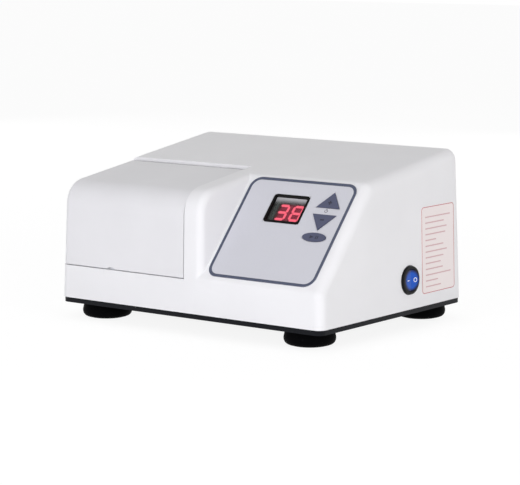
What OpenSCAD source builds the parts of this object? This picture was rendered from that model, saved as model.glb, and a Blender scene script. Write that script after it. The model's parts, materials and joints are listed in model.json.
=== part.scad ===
// Bench-top capsule mixer for dental amalgam: a wedge-shaped case with a sloped console,
// a hinged mixing chamber lid, and a motor that shakes a sprung arm.
// X runs to the right along the front, Y to the back and Z up. The feet stand on z = 0.

/* [Case] */
// Width of the case at its bottom edge
body_w = 256; // [246:1:280]
// Depth of the case at its bottom edge
body_d = 190; // [184:1:210]
// Height of the case's front wall, measured to the plane of the top
front_h = 92; // [88:0.5:104]
// Rise of the top towards the rear, in degrees
top_tilt = 8.45; // [6:0.05:10]
// Draft of every side wall, in degrees
draft = 1.5; // [0.5:0.1:2]
// Wall thickness of the case
wall = 3; // [2.2:0.1:3.4]
// Radius of the upright corners
corner_r = 7; // [6:0.5:12]
// Radius of the top edges at the sides
edge_r = 7; // [6:0.5:10]
// Radius of the top edge at the rear
rear_r = 10; // [10:0.5:15]
// Radius of the edge between the front and the top
front_r = 20; // [16:0.5:22]
// Thickness of the base plate
plate_t = 4; // [3:0.5:6]
// How far the base plate stands in from the case's bottom edge
plate_inset = 0.8; // [0.3:0.1:2]

/* [Console] */
// Where the right-hand wall of the left block stands, from the case's right-hand edge
console_x = 113; // [111:0.5:117]
// Angle of the sloped console, in degrees from level
console_a = 48.9; // [47:0.1:51]
// Height of the slope's lower edge above the case's bottom edge
console_h = 27.4; // [25:0.2:32]
// Radius of the edges along the slope
console_r = 8; // [6:0.5:9]
// Radius of the left block's right-hand edge
block_r = 6; // [5:0.5:8]

/* [Lid] */
// Height of the seam under the lid above the case's bottom edge
seam_h = 25.8; // [24:0.2:30]
// Place of the lid's right-hand seam, from the left block's right-hand wall
seam_x = 16.3; // [16:0.1:19]
// Place of the seam behind the lid, from the case's rear edge
seam_y = 105.3; // [103:0.1:115]
// Gap around the closed lid
lid_gap = 0.8; // [0.4:0.1:1]
// How far the lid's sides and front stand in from the case's skin
lid_inset = 0.2; // [0:0.1:1]
// How far the lid's top lies below the case's top, beyond that
lid_drop = 1.3; // [0.6:0.1:1.6]
// Wall thickness of the lid
lid_wall = 2.6; // [2.2:0.1:3]
// Radius of the lid's hinge barrel
barrel_r = 5; // [4.8:0.1:5.4]
// Gap between the barrel and the case behind it
barrel_gap = 0.8; // [0.6:0.1:1.5]
// Radius of the hinge pin
pin_r = 1.5; // [1.2:0.05:1.6]
// Thickness of a hinge bracket's ear
ear_t = 4; // [3:0.5:5]
// Radius of a hinge bracket's ear around the pin
ear_r = 3.3; // [3:0.1:3.4]

/* [Feet] */
// Height of a rubber foot
foot_h = 12.2; // [10:0.2:15]
// Largest radius of a foot
foot_r = 19.6; // [16:0.2:20]
// Radius of a foot under the base plate
foot_top_r = 18.2; // [14:0.2:18.6]
// Radius of the flat that a foot stands on
foot_flat_r = 14; // [10:0.5:15]
// Distance of the feet in from the case's sides
foot_x = 28; // [26:1:34]
// Distance of the front feet behind the case's front edge
foot_front_y = 24.5; // [20:0.5:26]
// Distance of the rear feet in front of the case's rear edge
foot_rear_y = 17.5; // [17:0.5:23]

/* [Mixing chamber] */
// Height of the chamber's floor above the base plate
floor_h = 22; // [20:0.5:23]
// Thickness of the chamber's walls and floor
tub_t = 3; // [2:0.1:3.4]
// Gap between the chamber's bulkhead and the seam behind the lid
bulk_y = 2; // [1.5:0.1:3]
// Gap between the chamber's right-hand wall and the seam beside the lid
tub_x = 1.3; // [1:0.1:2]
// Height of the lip around the chamber's floor, over the seam
lip_h = 4; // [3:0.5:6]

/* [Drive] */
// Place of the motor's axis, from the middle
motor_x = -60; // [-64:1:-58]
// Height of the motor's axis above the base plate
motor_h = 57.8; // [54:0.5:60]
// Radius of the motor's can
motor_r = 26; // [22:0.5:28]
// Length of the motor's can
motor_len = 50; // [44:1:52]
// Radius of the motor's shaft
shaft_r = 4; // [3:0.1:4.5]
// Radius of the ball-shaped bush on the shaft
ball_r = 9; // [8:0.1:9.6]
// Slant of the bush's end faces, in degrees
bush_cant = 6; // [3:0.5:8]
// Outer radius of the bearing ring around the bush
ring_r = 13; // [12.2:0.1:13.6]
// Radius of the arm's hub
hub_r = 16; // [15.4:0.1:17]
// Distance from the bush's centre to the motor bracket
ball_y = 12; // [11.5:0.1:14]
// Radius of the arm's rod
rod_r = 3.5; // [3:0.1:4]
// Distance from the bush's centre to the fork's crossbar
fork_y = 38; // [34:1:42]
// Inside width between the fork's prongs
fork_gap = 32; // [28:1:36]
// Length of the prongs
prong_len = 16; // [12:1:20]
// Radius of the rubber mounts under the motor bracket
mount_r = 7; // [5:0.5:8]
// Height of the rubber mounts
mount_h = 8; // [6:0.5:10]
// Thickness of the motor bracket's plate
bracket_t = 3; // [2:0.5:4]

/* [Control panel] */
// Left edge of the control label, from the left block's right-hand wall
label_x = 3; // [2.5:0.5:5]
// Width of the control label
label_w = 99.8; // [96:0.2:100]
// Height of the control label, up the slope
label_h = 91.4; // [88:0.2:92]
// Distance of the label from the slope's lower edge
label_s = 3.6; // [3.4:0.1:4.5]
// Corner radius of the label
label_r = 9; // [6:0.5:12]
// Thickness of the label
label_t = 0.5; // [0.3:0.1:0.8]
// Centre of the display window, to the left of the keys' centre line
window_x = 36.4; // [34:0.1:40]
// Centre of the display window, below the label's upper edge
window_s = 26.1; // [22:0.1:31]
// Width of the display's frame
window_w = 33.5; // [30:0.5:36]
// Height of the display's frame
window_h = 25.5; // [23:0.5:28]
// Width of the display frame's border
window_b = 1.8; // [1.6:0.1:3]
// Centre line of the keys, from the label's right-hand edge
key_x = 18.8; // [16:0.1:22]
// Lower edge of the upper key, below the label's upper edge
key_up_s = 22; // [19.5:0.2:23.4]
// Upper edge of the middle key, below the label's upper edge
key_down_s = 28; // [26.4:0.2:30]
// Centre of the start key, below the label's upper edge
key_start_s = 48.4; // [47:0.2:53]
// Width of a triangular key
key_w = 21.5; // [18:0.5:23]
// Height of a triangular key
key_h = 14; // [12:0.5:15]
// Height of the oval start key
start_h = 8; // [7:0.2:10]
// How far the keys stand out of the slope
key_out = 0.5; // [0.4:0.1:1]
// Travel of a key
key_travel = 0.5; // [0.3:0.05:0.6]

/* [Power] */
// Distance of the rocker switch in front of the case's rear edge
switch_y = 74.5; // [69:0.5:80]
// Height of the rocker switch's centre above the case's bottom edge
switch_h = 22.8; // [18:0.2:30]
// Radius of the switch's bezel
bezel_r = 11.5; // [11:0.1:12.5]
// Radius of the switch's body behind the wall
switch_r = 10; // [9.4:0.1:10.4]
// Radius of the rocker
rocker_r = 8.2; // [7.5:0.1:8.6]
// Tilt of the rocker to each side, in degrees
rocker_tilt = 7; // [5:0.5:9]
// Place of the mains inlet, from the middle
inlet_x = 70; // [62:1:76]
// Height of the mains inlet's centre above the case's bottom edge
inlet_h = 32; // [28:0.5:40]
// Distance between the inlet's two screws
inlet_pitch = 40; // [38:0.5:42]
// Lower edge of the rating label above the case's bottom edge
rating_h = 9.2; // [7:0.2:14]
// Distance of the rating label's front edge in front of the case's rear edge
rating_y = 57.5; // [53:0.1:58]
// Width of the rating label
rating_w = 45.8; // [38:0.2:46]
// Height of the rating label
rating_l = 67.6; // [50:0.2:70]

/* [Clearances] */
// Radial clearance of a running fit
run_gap = 0.05; // [0.02:0.01:0.08]
// Clearance around a piece that is dropped into its seat
seat_gap = 0.4; // [0.3:0.05:0.6]
// Clearance around a moving key
key_gap = 0.3; // [0.25:0.05:0.5]

/* [Hidden] */
$fn = 64;
hull_fn = 32;
far = 400;
cut = 1;
vent_pitch = 7;
vent_w = 3;
vent_h = 30;

// Heights of the stack, from the table up
plate_z = foot_h;
deck_z = foot_h + plate_t;
seam_z = deck_z + seam_h;

// Places measured in from the case's edges
block_x = body_w / 2 - console_x;
seam_right = block_x - seam_x;
seam_back = body_d / 2 - seam_y;
switch_at = body_d / 2 - switch_y;
rating_at = body_d / 2 - rating_y;

// The case's outline seen from the side. A face is its outward normal in Y and Z, and its distance.
function rising(a) = [-sin(a), cos(a)];
function face(n, p) = [n, n * p];
function moved(f, d) = [f[0], f[1] - d];
function meet(a, b) = [
    (a[1] * b[0].y - b[1] * a[0].y) / cross(a[0], b[0]),
    (a[0].x * b[1] - b[0].x * a[1]) / cross(a[0], b[0])
];
function crease(a, b, r) = meet(moved(a, r), moved(b, r));
function face_z(f, y) = (f[1] - f[0].x * y) / f[0].y;
face_front = face(rising(90 - draft), [-body_d / 2, deck_z]);
face_rear = face([cos(draft), sin(draft)], [body_d / 2, deck_z]);
face_top = face(rising(top_tilt), [-body_d / 2, deck_z + front_h]);
slope_start = [-body_d / 2 + console_h * tan(draft), deck_z + console_h];
face_slope = face(rising(console_a), slope_start);

// Half width of the case at a height, less an inset
function side_x(z, r) = body_w / 2 - tan(draft) * (z - deck_z) - r / cos(draft);
// The same for a corner bent by r along its crease and by e towards the side, at its highest point
function corner_x(p, r, e) = side_x(p.y + r - e, e);

// Hinge of the lid
barrel_y = seam_back - barrel_gap - barrel_r;
barrel_z = face_z(moved(face_top, lid_drop + lid_inset + barrel_r), barrel_y);
lid_right = seam_right - lid_gap;
ear_post = 2.3;
ear_gap = 0.5;
ear_in = 15;
ear_left_x = -body_w / 2 + edge_r + ear_in / 2 + ear_t / 2;
ear_right_x = lid_right - ear_in / 2 - ear_t / 2;
bracket_plate = 2;
bracket_drop = 16;
bracket_foot_w = 12;
bracket_foot_h = 14;
bracket_arm_h = 6;
hinge_screw_r = 1.3;
hinge_head_r = 2.6;
hinge_head_t = 1.6;
hinge_slot = [1.2, 0.8];
hinge_screw_z = barrel_z - bracket_drop - 4;

// Mixing chamber
floor_z = deck_z + floor_h;
floor_top = floor_z + tub_t;
tub_right = seam_right + tub_x;
tub_rear = seam_back + bulk_y;
lip_gap = 0.6;
lip_t = 2;
tub_off = lid_inset + lid_wall + lip_gap;
leg_r = 5;
leg_in = 12;
leg_front = -body_d / 2 + leg_in + 6;

// Drive line, along Y
motor_z = deck_z + motor_h;
bush_room = 13;
bush_y = tub_rear + tub_t + bush_room;
bracket_y = bush_y + ball_y;
can_y = bracket_y + bracket_t;
can_end = can_y + motor_len;
cap_t = 5;
fan_gap = 2;
fan_t = 6;
fan_r = 22;
shaft_end = can_end + cap_t + fan_gap + fan_t + 1;
bush_w = 12;
ring_w = 10;
hub_wall = 3;
hub_front = bush_y - ring_w / 2 - 2 - hub_wall;
weight_t = 3.2;
weight_r = 12;
weight_y = bracket_y - 0.5 - weight_t;
pilot_r = 12;
motor_pcd = 40;
motor_tap = 8;
screw_r = 2;
thread_r = 1.5;
cross_cut = [3.6, 1, 1.1];
bar_y = bush_y - fork_y;
bar_t = 6;
bar_h = 8;
prong_t = 3;
prong_h = 12;
prong_hole_r = 4;
prong_hole_in = 6;
prong_root_r = 3.5;
clip_x = fork_gap / 2 + prong_t / 2;
clip_y = bar_y + bar_t / 2;
clip_pin_r = 1;
lug_t = 2;
seal_r = 6;
seal_neck_r = 8;
seal_t = 1.4;
spring_x = hub_r + 4;
spring_wire = 1.1;
spring_r = 2.9;
spring_low = deck_z + mount_h + bracket_t + 7;
ear_pin_r = 2;
foot_plate_z = deck_z + mount_h;
foot_plate_x = 40;
foot_plate_y0 = bush_y - 8;
foot_plate_y1 = can_end + cap_t;
mount_x = foot_plate_x - mount_r;
mount_y = [foot_plate_y0 + mount_r + 1, foot_plate_y1 - mount_r - 19];

// Control panel, in the slope's own frame
board_depth = 12.5;
board_t = 1.6;
board_screw_r = 1.2;
board_post_r = 3.5;
board_post_in = 5;
panel_left = block_x + label_x;
panel_right = panel_left + label_w;
panel_top = label_s + label_h;
board_x = [block_x + 7, body_w / 2 - 14];
board_s = [label_s + 12.4, panel_top - 7];
board_post = [for (s = [board_s[0] + board_post_in, board_s[1] - board_post_in])
    for (x = [board_x[0] + board_post_in, board_x[1] - board_post_in]) [x, s]];
key_mid = panel_right - key_x;
window_mid = [key_mid - window_x, panel_top - window_s];
frame_deep = 3.4;
frame_lip = 0.9;
pane_t = 1.5;
pane_deep = 1.2;
pane_lap = 0.5;
digits_size = [25, 19];
digits_gap = 1.1;
key_points = [
    [key_mid, panel_top - key_up_s + key_h / 3],
    [key_mid, panel_top - key_down_s - key_h / 3],
    [key_mid, panel_top - key_start_s]
];
stem_r = 2;
switch_top = 4.5;
key_switch = [6, 6, 4];
plunger_r = 1.7;
buzzer_r = 6;
buzzer_h = 8.5;
buzzer_in = [20, 24];

// Power parts on the base plate
switch_z = deck_z + switch_h;
inlet_z = deck_z + inlet_h;
inlet_body = [28, 31];
inlet_flange = [50, 36];
inlet_deep = 25;
flange_t = 2.4;
inlet_screw_r = 1.5;
socket_size = [24.4, 16.6];
socket_deep = 17;
socket_up = 5;
contact_size = [2, 4, 12];
contact_gap = 7;
contact_low = 2;
inlet_head_t = 1;
drawer_gap = 0.3;
drawer_size = [22, 7.4];
drawer_up = -10;
drawer_deep = 20;
power_x = [-10, 22];
power_y = [0, 76];
power_mid = (power_x[0] + power_x[1]) / 2;
standoff_h = 10;
standoff_r = 3;
standoff_in = 4;
power_z = deck_z + standoff_h;
power_top = power_z + board_t;
cap_r = 6;
cap_h = 22;
cap_pitch = 14;
cap_at = 20;
sink_size = [24, 10, 24];
sink_at = 42;
sink_t = 3;
fin_t = 1.4;
fin_pitch = 3.6;
block_size = [22, 10, 11];
block_at = 13;
terminal_pitch = 5;
terminal_r = 1.7;
trans_x = 60;
trans_y = 14;
core_size = [52, 24, 44];
core_limb = 6;
window_size = [9, 28];
coil_out = 9;
coil_gap = 0.3;
frame_t = 2;
strap_w = 14;
strap_t = 1.5;
strap_h = 34;
strap_gap = 0.05;
frame_ear = 10;
frame_hole_in = 5;

// Frames of the sloped console, the right-hand wall and the rear wall
module on_slope(x, s, n) {
    translate([0, slope_start.x, slope_start.y])
        rotate([console_a, 0, 0])
            translate([x, s, n]) children();
}
module on_right(y, z) {
    translate([side_x(z, 0), y, z])
        rotate([0, 90 - draft, 0]) children();
}
module on_rear(x, z) {
    translate([x, body_d / 2 - tan(draft) * (z - deck_z), z])
        rotate([draft - 90, 0, 0]) children();
}
module along_x(r, x0, x1) {
    translate([x0, 0, 0])
        rotate([0, 90, 0]) cylinder(r = r, h = x1 - x0);
}
module along_y(r, y0, y1) {
    translate([0, y1, 0])
        rotate([90, 0, 0]) cylinder(r = r, h = y1 - y0);
}
module span(lo, hi) {
    translate(lo) cube(hi - lo);
}

// One rounded corner of the case at x and p, bent by r along the crease and by e towards the side.
// An inset shell keeps a small radius of its own
least_r = 0.3;
function kept(r, off) = max(r, off + least_r);
module corner(x, p, r, e, off) {
    translate([x, p.x, p.y])
        rotate([0, 90, 0])
            if (r > e) {
                rotate_extrude($fn = hull_fn)
                    intersection() {
                        translate([r - e, 0]) circle(r = e - off, $fn = hull_fn);
                        translate([0, -far]) square([far, 2 * far]);
                    }
            } else {
                sphere(r = e - off, $fn = hull_fn);
            }
}
module foot_corner(x, y, off) {
    z = off > 0 ? deck_z - cut : deck_z;
    translate([x, y, z]) cylinder(r = max(corner_r - off, 1), h = 0.01, $fn = hull_fn);
}

// Left block: the full-height part that holds the mixing chamber and the motor.
// The lid and the chamber under it lie lower at the top, by a drop
module left_block(off, drop = 0) {
    y = body_d / 2 - corner_r;
    outer = kept(edge_r, off);
    inner = kept(block_r, off);
    front = kept(front_r, off);
    rear = kept(rear_r, off);
    top = moved(face_top, drop);
    hull() {
        for (s = [-1, 1]) {
            foot_corner(-body_w / 2 + corner_r, s * y, off);
            foot_corner(block_x - corner_r, s * y, off);
        }
        for (p = [
            [crease(face_front, top, front), front],
            [crease(top, face_rear, rear), rear]
        ]) {
            corner(-corner_x(p[0], p[1], outer), p[0], p[1], outer, off);
            corner(block_x - inner, p[0], p[1], inner, off);
        }
    }
}

// Right block: its front is cut back to the sloped console
module console_block(off) {
    y = body_d / 2 - corner_r;
    left = block_x - block_r;
    crest_r = console_r + 2;
    hull() {
        for (s = [-1, 1]) {
            foot_corner(body_w / 2 - corner_r, s * y, off);
            foot_corner(left, s * y, off);
        }
        for (p = [
            [crease(face_front, face_slope, console_r), console_r, console_r],
            [crease(face_slope, face_top, crest_r), crest_r, console_r],
            [crease(face_top, face_rear, rear_r), rear_r, edge_r]
        ]) {
            corner(corner_x(p[0], p[1], p[2]), p[0], p[1], p[2], off);
            corner(left, p[0], p[1], p[2], off);
        }
    }
}

// A plate with rounded corners, its underside at z
module round_plate(w, d, r, z, t) {
    for (sx = [-1, 1]) for (sy = [-1, 1])
        translate([sx * (w / 2 - r), sy * (d / 2 - r), z]) cylinder(r = r, h = t);
    span([-w / 2 + r, -d / 2, z], [w / 2 - r, d / 2, z + t]);
    span([-w / 2, -d / 2 + r, z], [w / 2, d / 2 - r, z + t]);
}
module round_tile(w, h, r) {
    for (sx = [-1, 1]) for (sy = [-1, 1])
        translate([sx * (w / 2 - r), sy * (h / 2 - r)]) circle(r = r);
    square([w - 2 * r, h], center = true);
    square([w, h - 2 * r], center = true);
}

// Places that more than one piece uses
foot_places = [for (y = [foot_front_y - body_d / 2, body_d / 2 - foot_rear_y]) for (s = [-1, 1])
    [s * (body_w / 2 - foot_x), y]];
boss_in = wall + 4.5;
boss_r = 5;
boss_h = 22;
boss_bore = 17;
case_places = [for (sx = [-1, 1]) for (sy = [-1, 1])
    [sx * (body_w / 2 - boss_in), sy * (body_d / 2 - boss_in)]];
leg_places = [
    [motor_x, leg_front], [tub_right - leg_in, leg_front],
    [-body_w / 2 + leg_in + 7, tub_rear - leg_in], [tub_right - leg_in, tub_rear - leg_in]
];
mount_places = [for (s = [-1, 1]) for (y = mount_y) [motor_x + s * mount_x, y]];
post_places = [for (x = power_x) for (y = power_y)
    [x + (x == power_x[0] ? 1 : -1) * standoff_in, y + (y == power_y[0] ? 1 : -1) * standoff_in]];
trans_places = [for (s = [-1, 1]) [trans_x + s * (core_size.x / 2 + frame_hole_in), trans_y]];
motor_places = [for (a = [45:90:315]) [motor_pcd / 2 * cos(a), motor_pcd / 2 * sin(a)]];

// Case shell with its bosses
module lid_opening() {
    span([-far, -far, seam_z], [seam_right, seam_back, far]);
}
module housing() {
    color([0.92, 0.92, 0.94])
    difference() {
        union() {
            difference() {
                union() {
                    left_block(0);
                    console_block(0);
                }
                left_block(wall);
                console_block(wall);
                lid_opening();
            }
            for (p = case_places)
                translate([p.x, p.y, deck_z]) cylinder(r = boss_r, h = boss_h);
            for (p = board_post)
                on_slope(p.x, p.y, -board_depth)
                    cylinder(r = board_post_r, h = board_depth - wall + 0.5);
        }
        for (p = case_places)
            translate([p.x, p.y, deck_z - cut]) cylinder(r = thread_r + run_gap, h = boss_bore + cut);
        for (p = board_post)
            on_slope(p.x, p.y, -board_depth - cut) cylinder(r = board_screw_r + run_gap, h = 8);
        on_slope(window_mid.x, window_mid.y, -wall - cut)
            linear_extrude(wall + 3) square([window_hole.x, window_hole.y], center = true);
        for (p = key_points)
            on_slope(p.x, p.y, -wall - cut) cylinder(r = stem_r + key_gap, h = wall + 3);
        on_right(switch_at, switch_z)
            translate([0, 0, -wall - 2]) cylinder(r = switch_r + run_gap, h = wall + 4);
        on_rear(inlet_x, inlet_z) {
            translate([0, 0, -wall - 2])
                linear_extrude(wall + 4)
                    square([inlet_body.x + seat_gap, inlet_body.y + seat_gap], center = true);
            for (s = [-1, 1])
                translate([s * inlet_pitch / 2, 0, -wall - 2])
                    cylinder(r = inlet_screw_r + run_gap, h = wall + 4);
        }
        for (i = [-3.5:3.5])
            on_rear(motor_x + i * vent_pitch, motor_z + 4)
                linear_extrude(2 * wall + 4, center = true) square([vent_w, vent_h], center = true);
    }
}
window_hole = [window_w - 1.2, window_h - 1.2];
window_clear = [window_w - 2 * window_b, window_h - 2 * window_b];

// Hinged lid over the mixing chamber, with its barrel along the rear edge
module lid_space() {
    span([-far, -far, seam_z + lid_gap], [lid_right, barrel_y, far]);
    span([-far, -far, seam_z + lid_gap], [lid_right, barrel_y + barrel_r, barrel_z]);
    translate([0, barrel_y, barrel_z]) along_x(barrel_r, -body_w, lid_right);
}
module ear_pocket(x) {
    w = ear_t / 2 + ear_gap;
    post = ear_post + ear_gap;
    translate([x, barrel_y, barrel_z]) {
        along_x(ear_r + ear_gap, -w, w);
        span([-w, -post - ear_gap, -barrel_r - cut], [w, 2 * barrel_r, 0]);
        span([-w, 0, -cut], [w, 2 * barrel_r, post - 0.2]);
    }
}
module lid() {
    notch_r = 8;
    color([0.9, 0.9, 0.92])
    difference() {
        intersection() {
            left_block(lid_inset, lid_drop);
            difference() {
                lid_space();
                difference() {
                    intersection() {
                        left_block(lid_inset + lid_wall, lid_drop);
                        span([-far, -far, 0], [lid_right - lid_wall, far, far]);
                    }
                    translate([0, barrel_y, barrel_z]) along_x(barrel_r, -body_w, lid_right);
                }
            }
        }
        translate([0, barrel_y, barrel_z])
            along_x(pin_r + run_gap, ear_left_x - ear_t, ear_right_x + ear_t);
        ear_pocket(ear_left_x);
        ear_pocket(ear_right_x);
        translate([notch_x, -body_d / 2, seam_z + lid_gap - notch_r + 1.3])
            along_y(notch_r, -8, 12);
    }
}
notch_x = -75;

// Hinge brackets on the chamber's bulkhead, and the pin through them
module hinge_bracket(x) {
    arm_z = barrel_z - bracket_drop;
    top = arm_z + bracket_arm_h;
    color([0.7, 0.71, 0.73])
    difference() {
        union() {
            translate([x, barrel_y, barrel_z]) {
                along_x(ear_r, -ear_t / 2, ear_t / 2);
                span([-ear_t / 2, -ear_post, -bracket_drop], [ear_t / 2, ear_post, 0]);
            }
            span([x - ear_t / 2, barrel_y, arm_z], [x + ear_t / 2, tub_rear - bracket_plate, top]);
            span([x - bracket_foot_w / 2, tub_rear - bracket_plate, top - bracket_foot_h],
                [x + bracket_foot_w / 2, tub_rear, top]);
        }
        translate([x, barrel_y, barrel_z]) along_x(pin_r + run_gap, -ear_t, ear_t);
        translate([x, 0, hinge_screw_z])
            along_y(hinge_screw_r + run_gap, tub_rear - bracket_plate - cut, tub_rear + cut);
    }
}
module hinge_pin() {
    color([0.75, 0.76, 0.78])
    translate([0, barrel_y, barrel_z])
        along_x(pin_r, ear_left_x - ear_t / 2, ear_right_x + ear_t / 2);
}

// Base plate with its holes, its vents and the seats of the sunk screw heads
sunk = 1.8;
head_r = 3;
head_gap = 0.2;
bolt_head_r = 3.8;
nut_t = 3;
module base_plate() {
    w = body_w - 2 * plate_inset;
    d = body_d - 2 * plate_inset;
    color([0.08, 0.09, 0.13])
    difference() {
        round_plate(w, d, corner_r - plate_inset, plate_z, plate_t);
        for (p = concat(foot_places, mount_places))
            translate([p.x, p.y, plate_z - cut]) cylinder(r = screw_r + run_gap, h = plate_t + 2 * cut);
        for (p = concat(case_places, leg_places, trans_places, post_places))
            translate([p.x, p.y, plate_z - cut]) cylinder(r = thread_r + run_gap, h = plate_t + 2 * cut);
        for (p = concat(case_places, leg_places, trans_places, post_places))
            translate([p.x, p.y, plate_z - cut]) cylinder(r = head_r + head_gap, h = sunk + cut);
        for (p = mount_places)
            translate([p.x, p.y, plate_z - cut]) cylinder(r = bolt_head_r + head_gap, h = sunk + cut);
        for (i = [-3:3])
            span([motor_x + i * vent_pitch - vent_w / 2, can_y + 12, plate_z - cut],
                [motor_x + i * vent_pitch + vent_w / 2, can_end - 16, deck_z + cut]);
    }
}

// Rubber foot: a rounded bumper with a sunk screw seat
foot_belly = 5.2;
foot_seat = 5.4;
foot_head_r = 3.9;
foot_head_t = 2.4;
module foot(p) {
    steps = 6;
    color([0.05, 0.05, 0.055])
    translate([p.x, p.y, 0])
    difference() {
        rotate_extrude()
            polygon(concat(
                [[0, 0], [foot_flat_r, 0]],
                [for (i = [0:steps])
                    let (a = -90 + 90 * i / steps)
                    [foot_flat_r + 1.6 + (foot_r - foot_flat_r - 1.6) * cos(a),
                        foot_belly + (foot_belly - 0.6) * sin(a)]],
                [[foot_r, foot_belly + 0.8], [foot_top_r, foot_h], [0, foot_h]]
            ));
        translate([0, 0, -cut]) cylinder(r = foot_head_r + 0.3, h = foot_seat + cut);
        cylinder(r = screw_r + run_gap, h = foot_h + cut);
    }
}
module screw(p, z_head, head_r, head_t, r, z_end) {
    translate([p.x, p.y, z_head]) {
        difference() {
            cylinder(r = head_r, h = head_t);
            for (turn = [0, 90])
                rotate(turn) cube([cross_cut.x, cross_cut.y, 2 * cross_cut.z], center = true);
        }
        translate([0, 0, head_t]) cylinder(r = r, h = z_end - z_head - head_t);
    }
}
module nut(p, z, r, t) {
    translate([p.x, p.y, z]) cylinder(r = r, h = t, $fn = 6);
}
module foot_screws() {
    color([0.7, 0.7, 0.72])
    for (p = foot_places) {
        screw(p, foot_seat - foot_head_t, foot_head_r, foot_head_t, screw_r, deck_z + nut_t - 1);
        nut(p, deck_z, bolt_head_r, nut_t);
    }
}
module case_screws() {
    frame_top = deck_z + frame_t;
    color([0.3, 0.3, 0.32]) {
        for (p = concat(case_places, leg_places))
            screw(p, plate_z, head_r, sunk, thread_r, deck_z + boss_bore - 3);
        for (p = trans_places) {
            screw(p, plate_z, head_r, sunk, thread_r, frame_top + nut_t + 0.6);
            nut(p, frame_top, head_r, nut_t - 0.6);
        }
    }
}

// Mixing chamber: floor, bulkhead, right-hand wall, lip and legs in one moulding
module mixing_chamber() {
    color([0.86, 0.87, 0.89])
    difference() {
        union() {
            difference() {
                intersection() {
                    left_block(tub_off, lid_drop);
                    span([-far, -far, floor_z], [tub_right + tub_t, tub_rear + tub_t, far]);
                }
                span([-far, -far, floor_top], [tub_right, tub_rear, far]);
            }
            difference() {
                intersection() {
                    left_block(tub_off, lid_drop);
                    span([-far, -far, floor_top - 0.5],
                        [lid_right - lid_wall - lip_gap, tub_rear + 0.5, seam_z + lip_h]);
                }
                left_block(tub_off + lip_t, lid_drop);
            }
            for (p = leg_places)
                translate([p.x, p.y, deck_z]) cylinder(r = leg_r, h = floor_h + 0.5);
        }
        for (p = leg_places)
            translate([p.x, p.y, deck_z - cut]) cylinder(r = thread_r + run_gap, h = boss_bore + cut);
        translate([motor_x, 0, motor_z])
            along_y(seal_neck_r + run_gap, tub_rear - cut, tub_rear + tub_t + cut);
        for (x = [ear_left_x, ear_right_x])
            translate([x, 0, hinge_screw_z])
                along_y(hinge_screw_r + run_gap, tub_rear - cut, tub_rear + tub_t + cut);
    }
}
module chamber_seal() {
    lip_r = seal_neck_r + seal_t;
    color([0.12, 0.12, 0.13])
    translate([motor_x, 0, motor_z])
    difference() {
        union() {
            along_y(seal_neck_r, tub_rear - 0.5, tub_rear + tub_t + 0.5);
            along_y(lip_r, tub_rear - seal_t, tub_rear);
            along_y(lip_r, tub_rear + tub_t, tub_rear + tub_t + seal_t);
        }
        along_y(seal_r, tub_rear - 2 * seal_t, tub_rear + tub_t + 2 * seal_t);
    }
}
module hinge_screws() {
    front = tub_rear - bracket_plate;
    slot = [2 * hinge_head_r, hinge_slot.x, hinge_slot.y];
    color([0.7, 0.7, 0.72])
    for (x = [ear_left_x, ear_right_x])
        translate([x, 0, hinge_screw_z])
            difference() {
                union() {
                    along_y(hinge_head_r, front - hinge_head_t, front);
                    along_y(hinge_screw_r, front, tub_rear + tub_t + 1);
                }
                translate([-slot.x / 2, front - hinge_head_t - slot.y / 2, -slot.z / 2]) cube(slot);
            }
}

// Lid interlock: a magnet on the lid's right-hand wall and a sensor on the chamber's wall.
// Its place in Y and Z
interlock = [-body_d / 2 + 22, seam_z + 24];
magnet_r = 3;
module lid_magnet() {
    color([0.6, 0.6, 0.63])
    translate([0, interlock.x, interlock.y])
        along_x(magnet_r, lid_right - lid_wall - 3, lid_right - lid_wall);
}
module lid_sensor() {
    color([0.15, 0.15, 0.16])
    span([tub_right + tub_t, interlock.x - 8, interlock.y - 4],
        [tub_right + tub_t + 4, interlock.x + 8, interlock.y + 4]);
}

// Motor and its bracket
module motor_can() {
    color([0.62, 0.64, 0.66])
    translate([motor_x, 0, motor_z])
    difference() {
        union() {
            along_y(motor_r, can_y, can_end);
            along_y(pilot_r, bracket_y + 0.3, can_y);
        }
        along_y(shaft_r + run_gap, bracket_y - cut, can_end + cut);
        for (p = motor_places)
            translate([p.x, 0, p.y]) along_y(thread_r + run_gap, can_y - cut, can_y + motor_tap);
    }
}
module motor_end_cap() {
    color([0.18, 0.18, 0.2])
    translate([motor_x, 0, motor_z])
    difference() {
        along_y(motor_r + 0.8, can_end, can_end + cap_t);
        along_y(shaft_r + run_gap, can_end - cut, can_end + cap_t + cut);
        for (a = [0:45:315])
            rotate([0, a, 0])
                translate([motor_r - 9, 0, 0]) along_y(2.5, can_end - cut, can_end + cap_t + cut);
    }
}
module motor_bracket() {
    top = motor_z + motor_r + 2;
    tab_x = spring_x - 5.5;
    color([0.72, 0.73, 0.75])
    difference() {
        union() {
            span([motor_x - foot_plate_x, foot_plate_y0, foot_plate_z],
                [motor_x + foot_plate_x, foot_plate_y1, foot_plate_z + bracket_t]);
            span([motor_x - motor_r - 4, bracket_y, foot_plate_z], [motor_x + motor_r + 4, can_y, top]);
            for (s = [-1, 1]) {
                translate([motor_x + s * (tab_x + 1), 0, 0])
                    span([-1, bush_y - 4, foot_plate_z], [1, bush_y + 4, spring_low + 3]);
                translate([motor_x + s * (tab_x + 5), bush_y, spring_low])
                    along_x(ear_pin_r, -4.5, 4.5);
            }
        }
        translate([motor_x, 0, motor_z]) {
            along_y(pilot_r + run_gap, bracket_y - cut, can_y + cut);
            for (p = motor_places)
                translate([p.x, 0, p.y]) along_y(thread_r + run_gap, bracket_y - cut, can_y + cut);
        }
        for (p = mount_places)
            translate([p.x, p.y, foot_plate_z - cut])
                cylinder(r = screw_r + run_gap, h = bracket_t + 2 * cut);
    }
}
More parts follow.
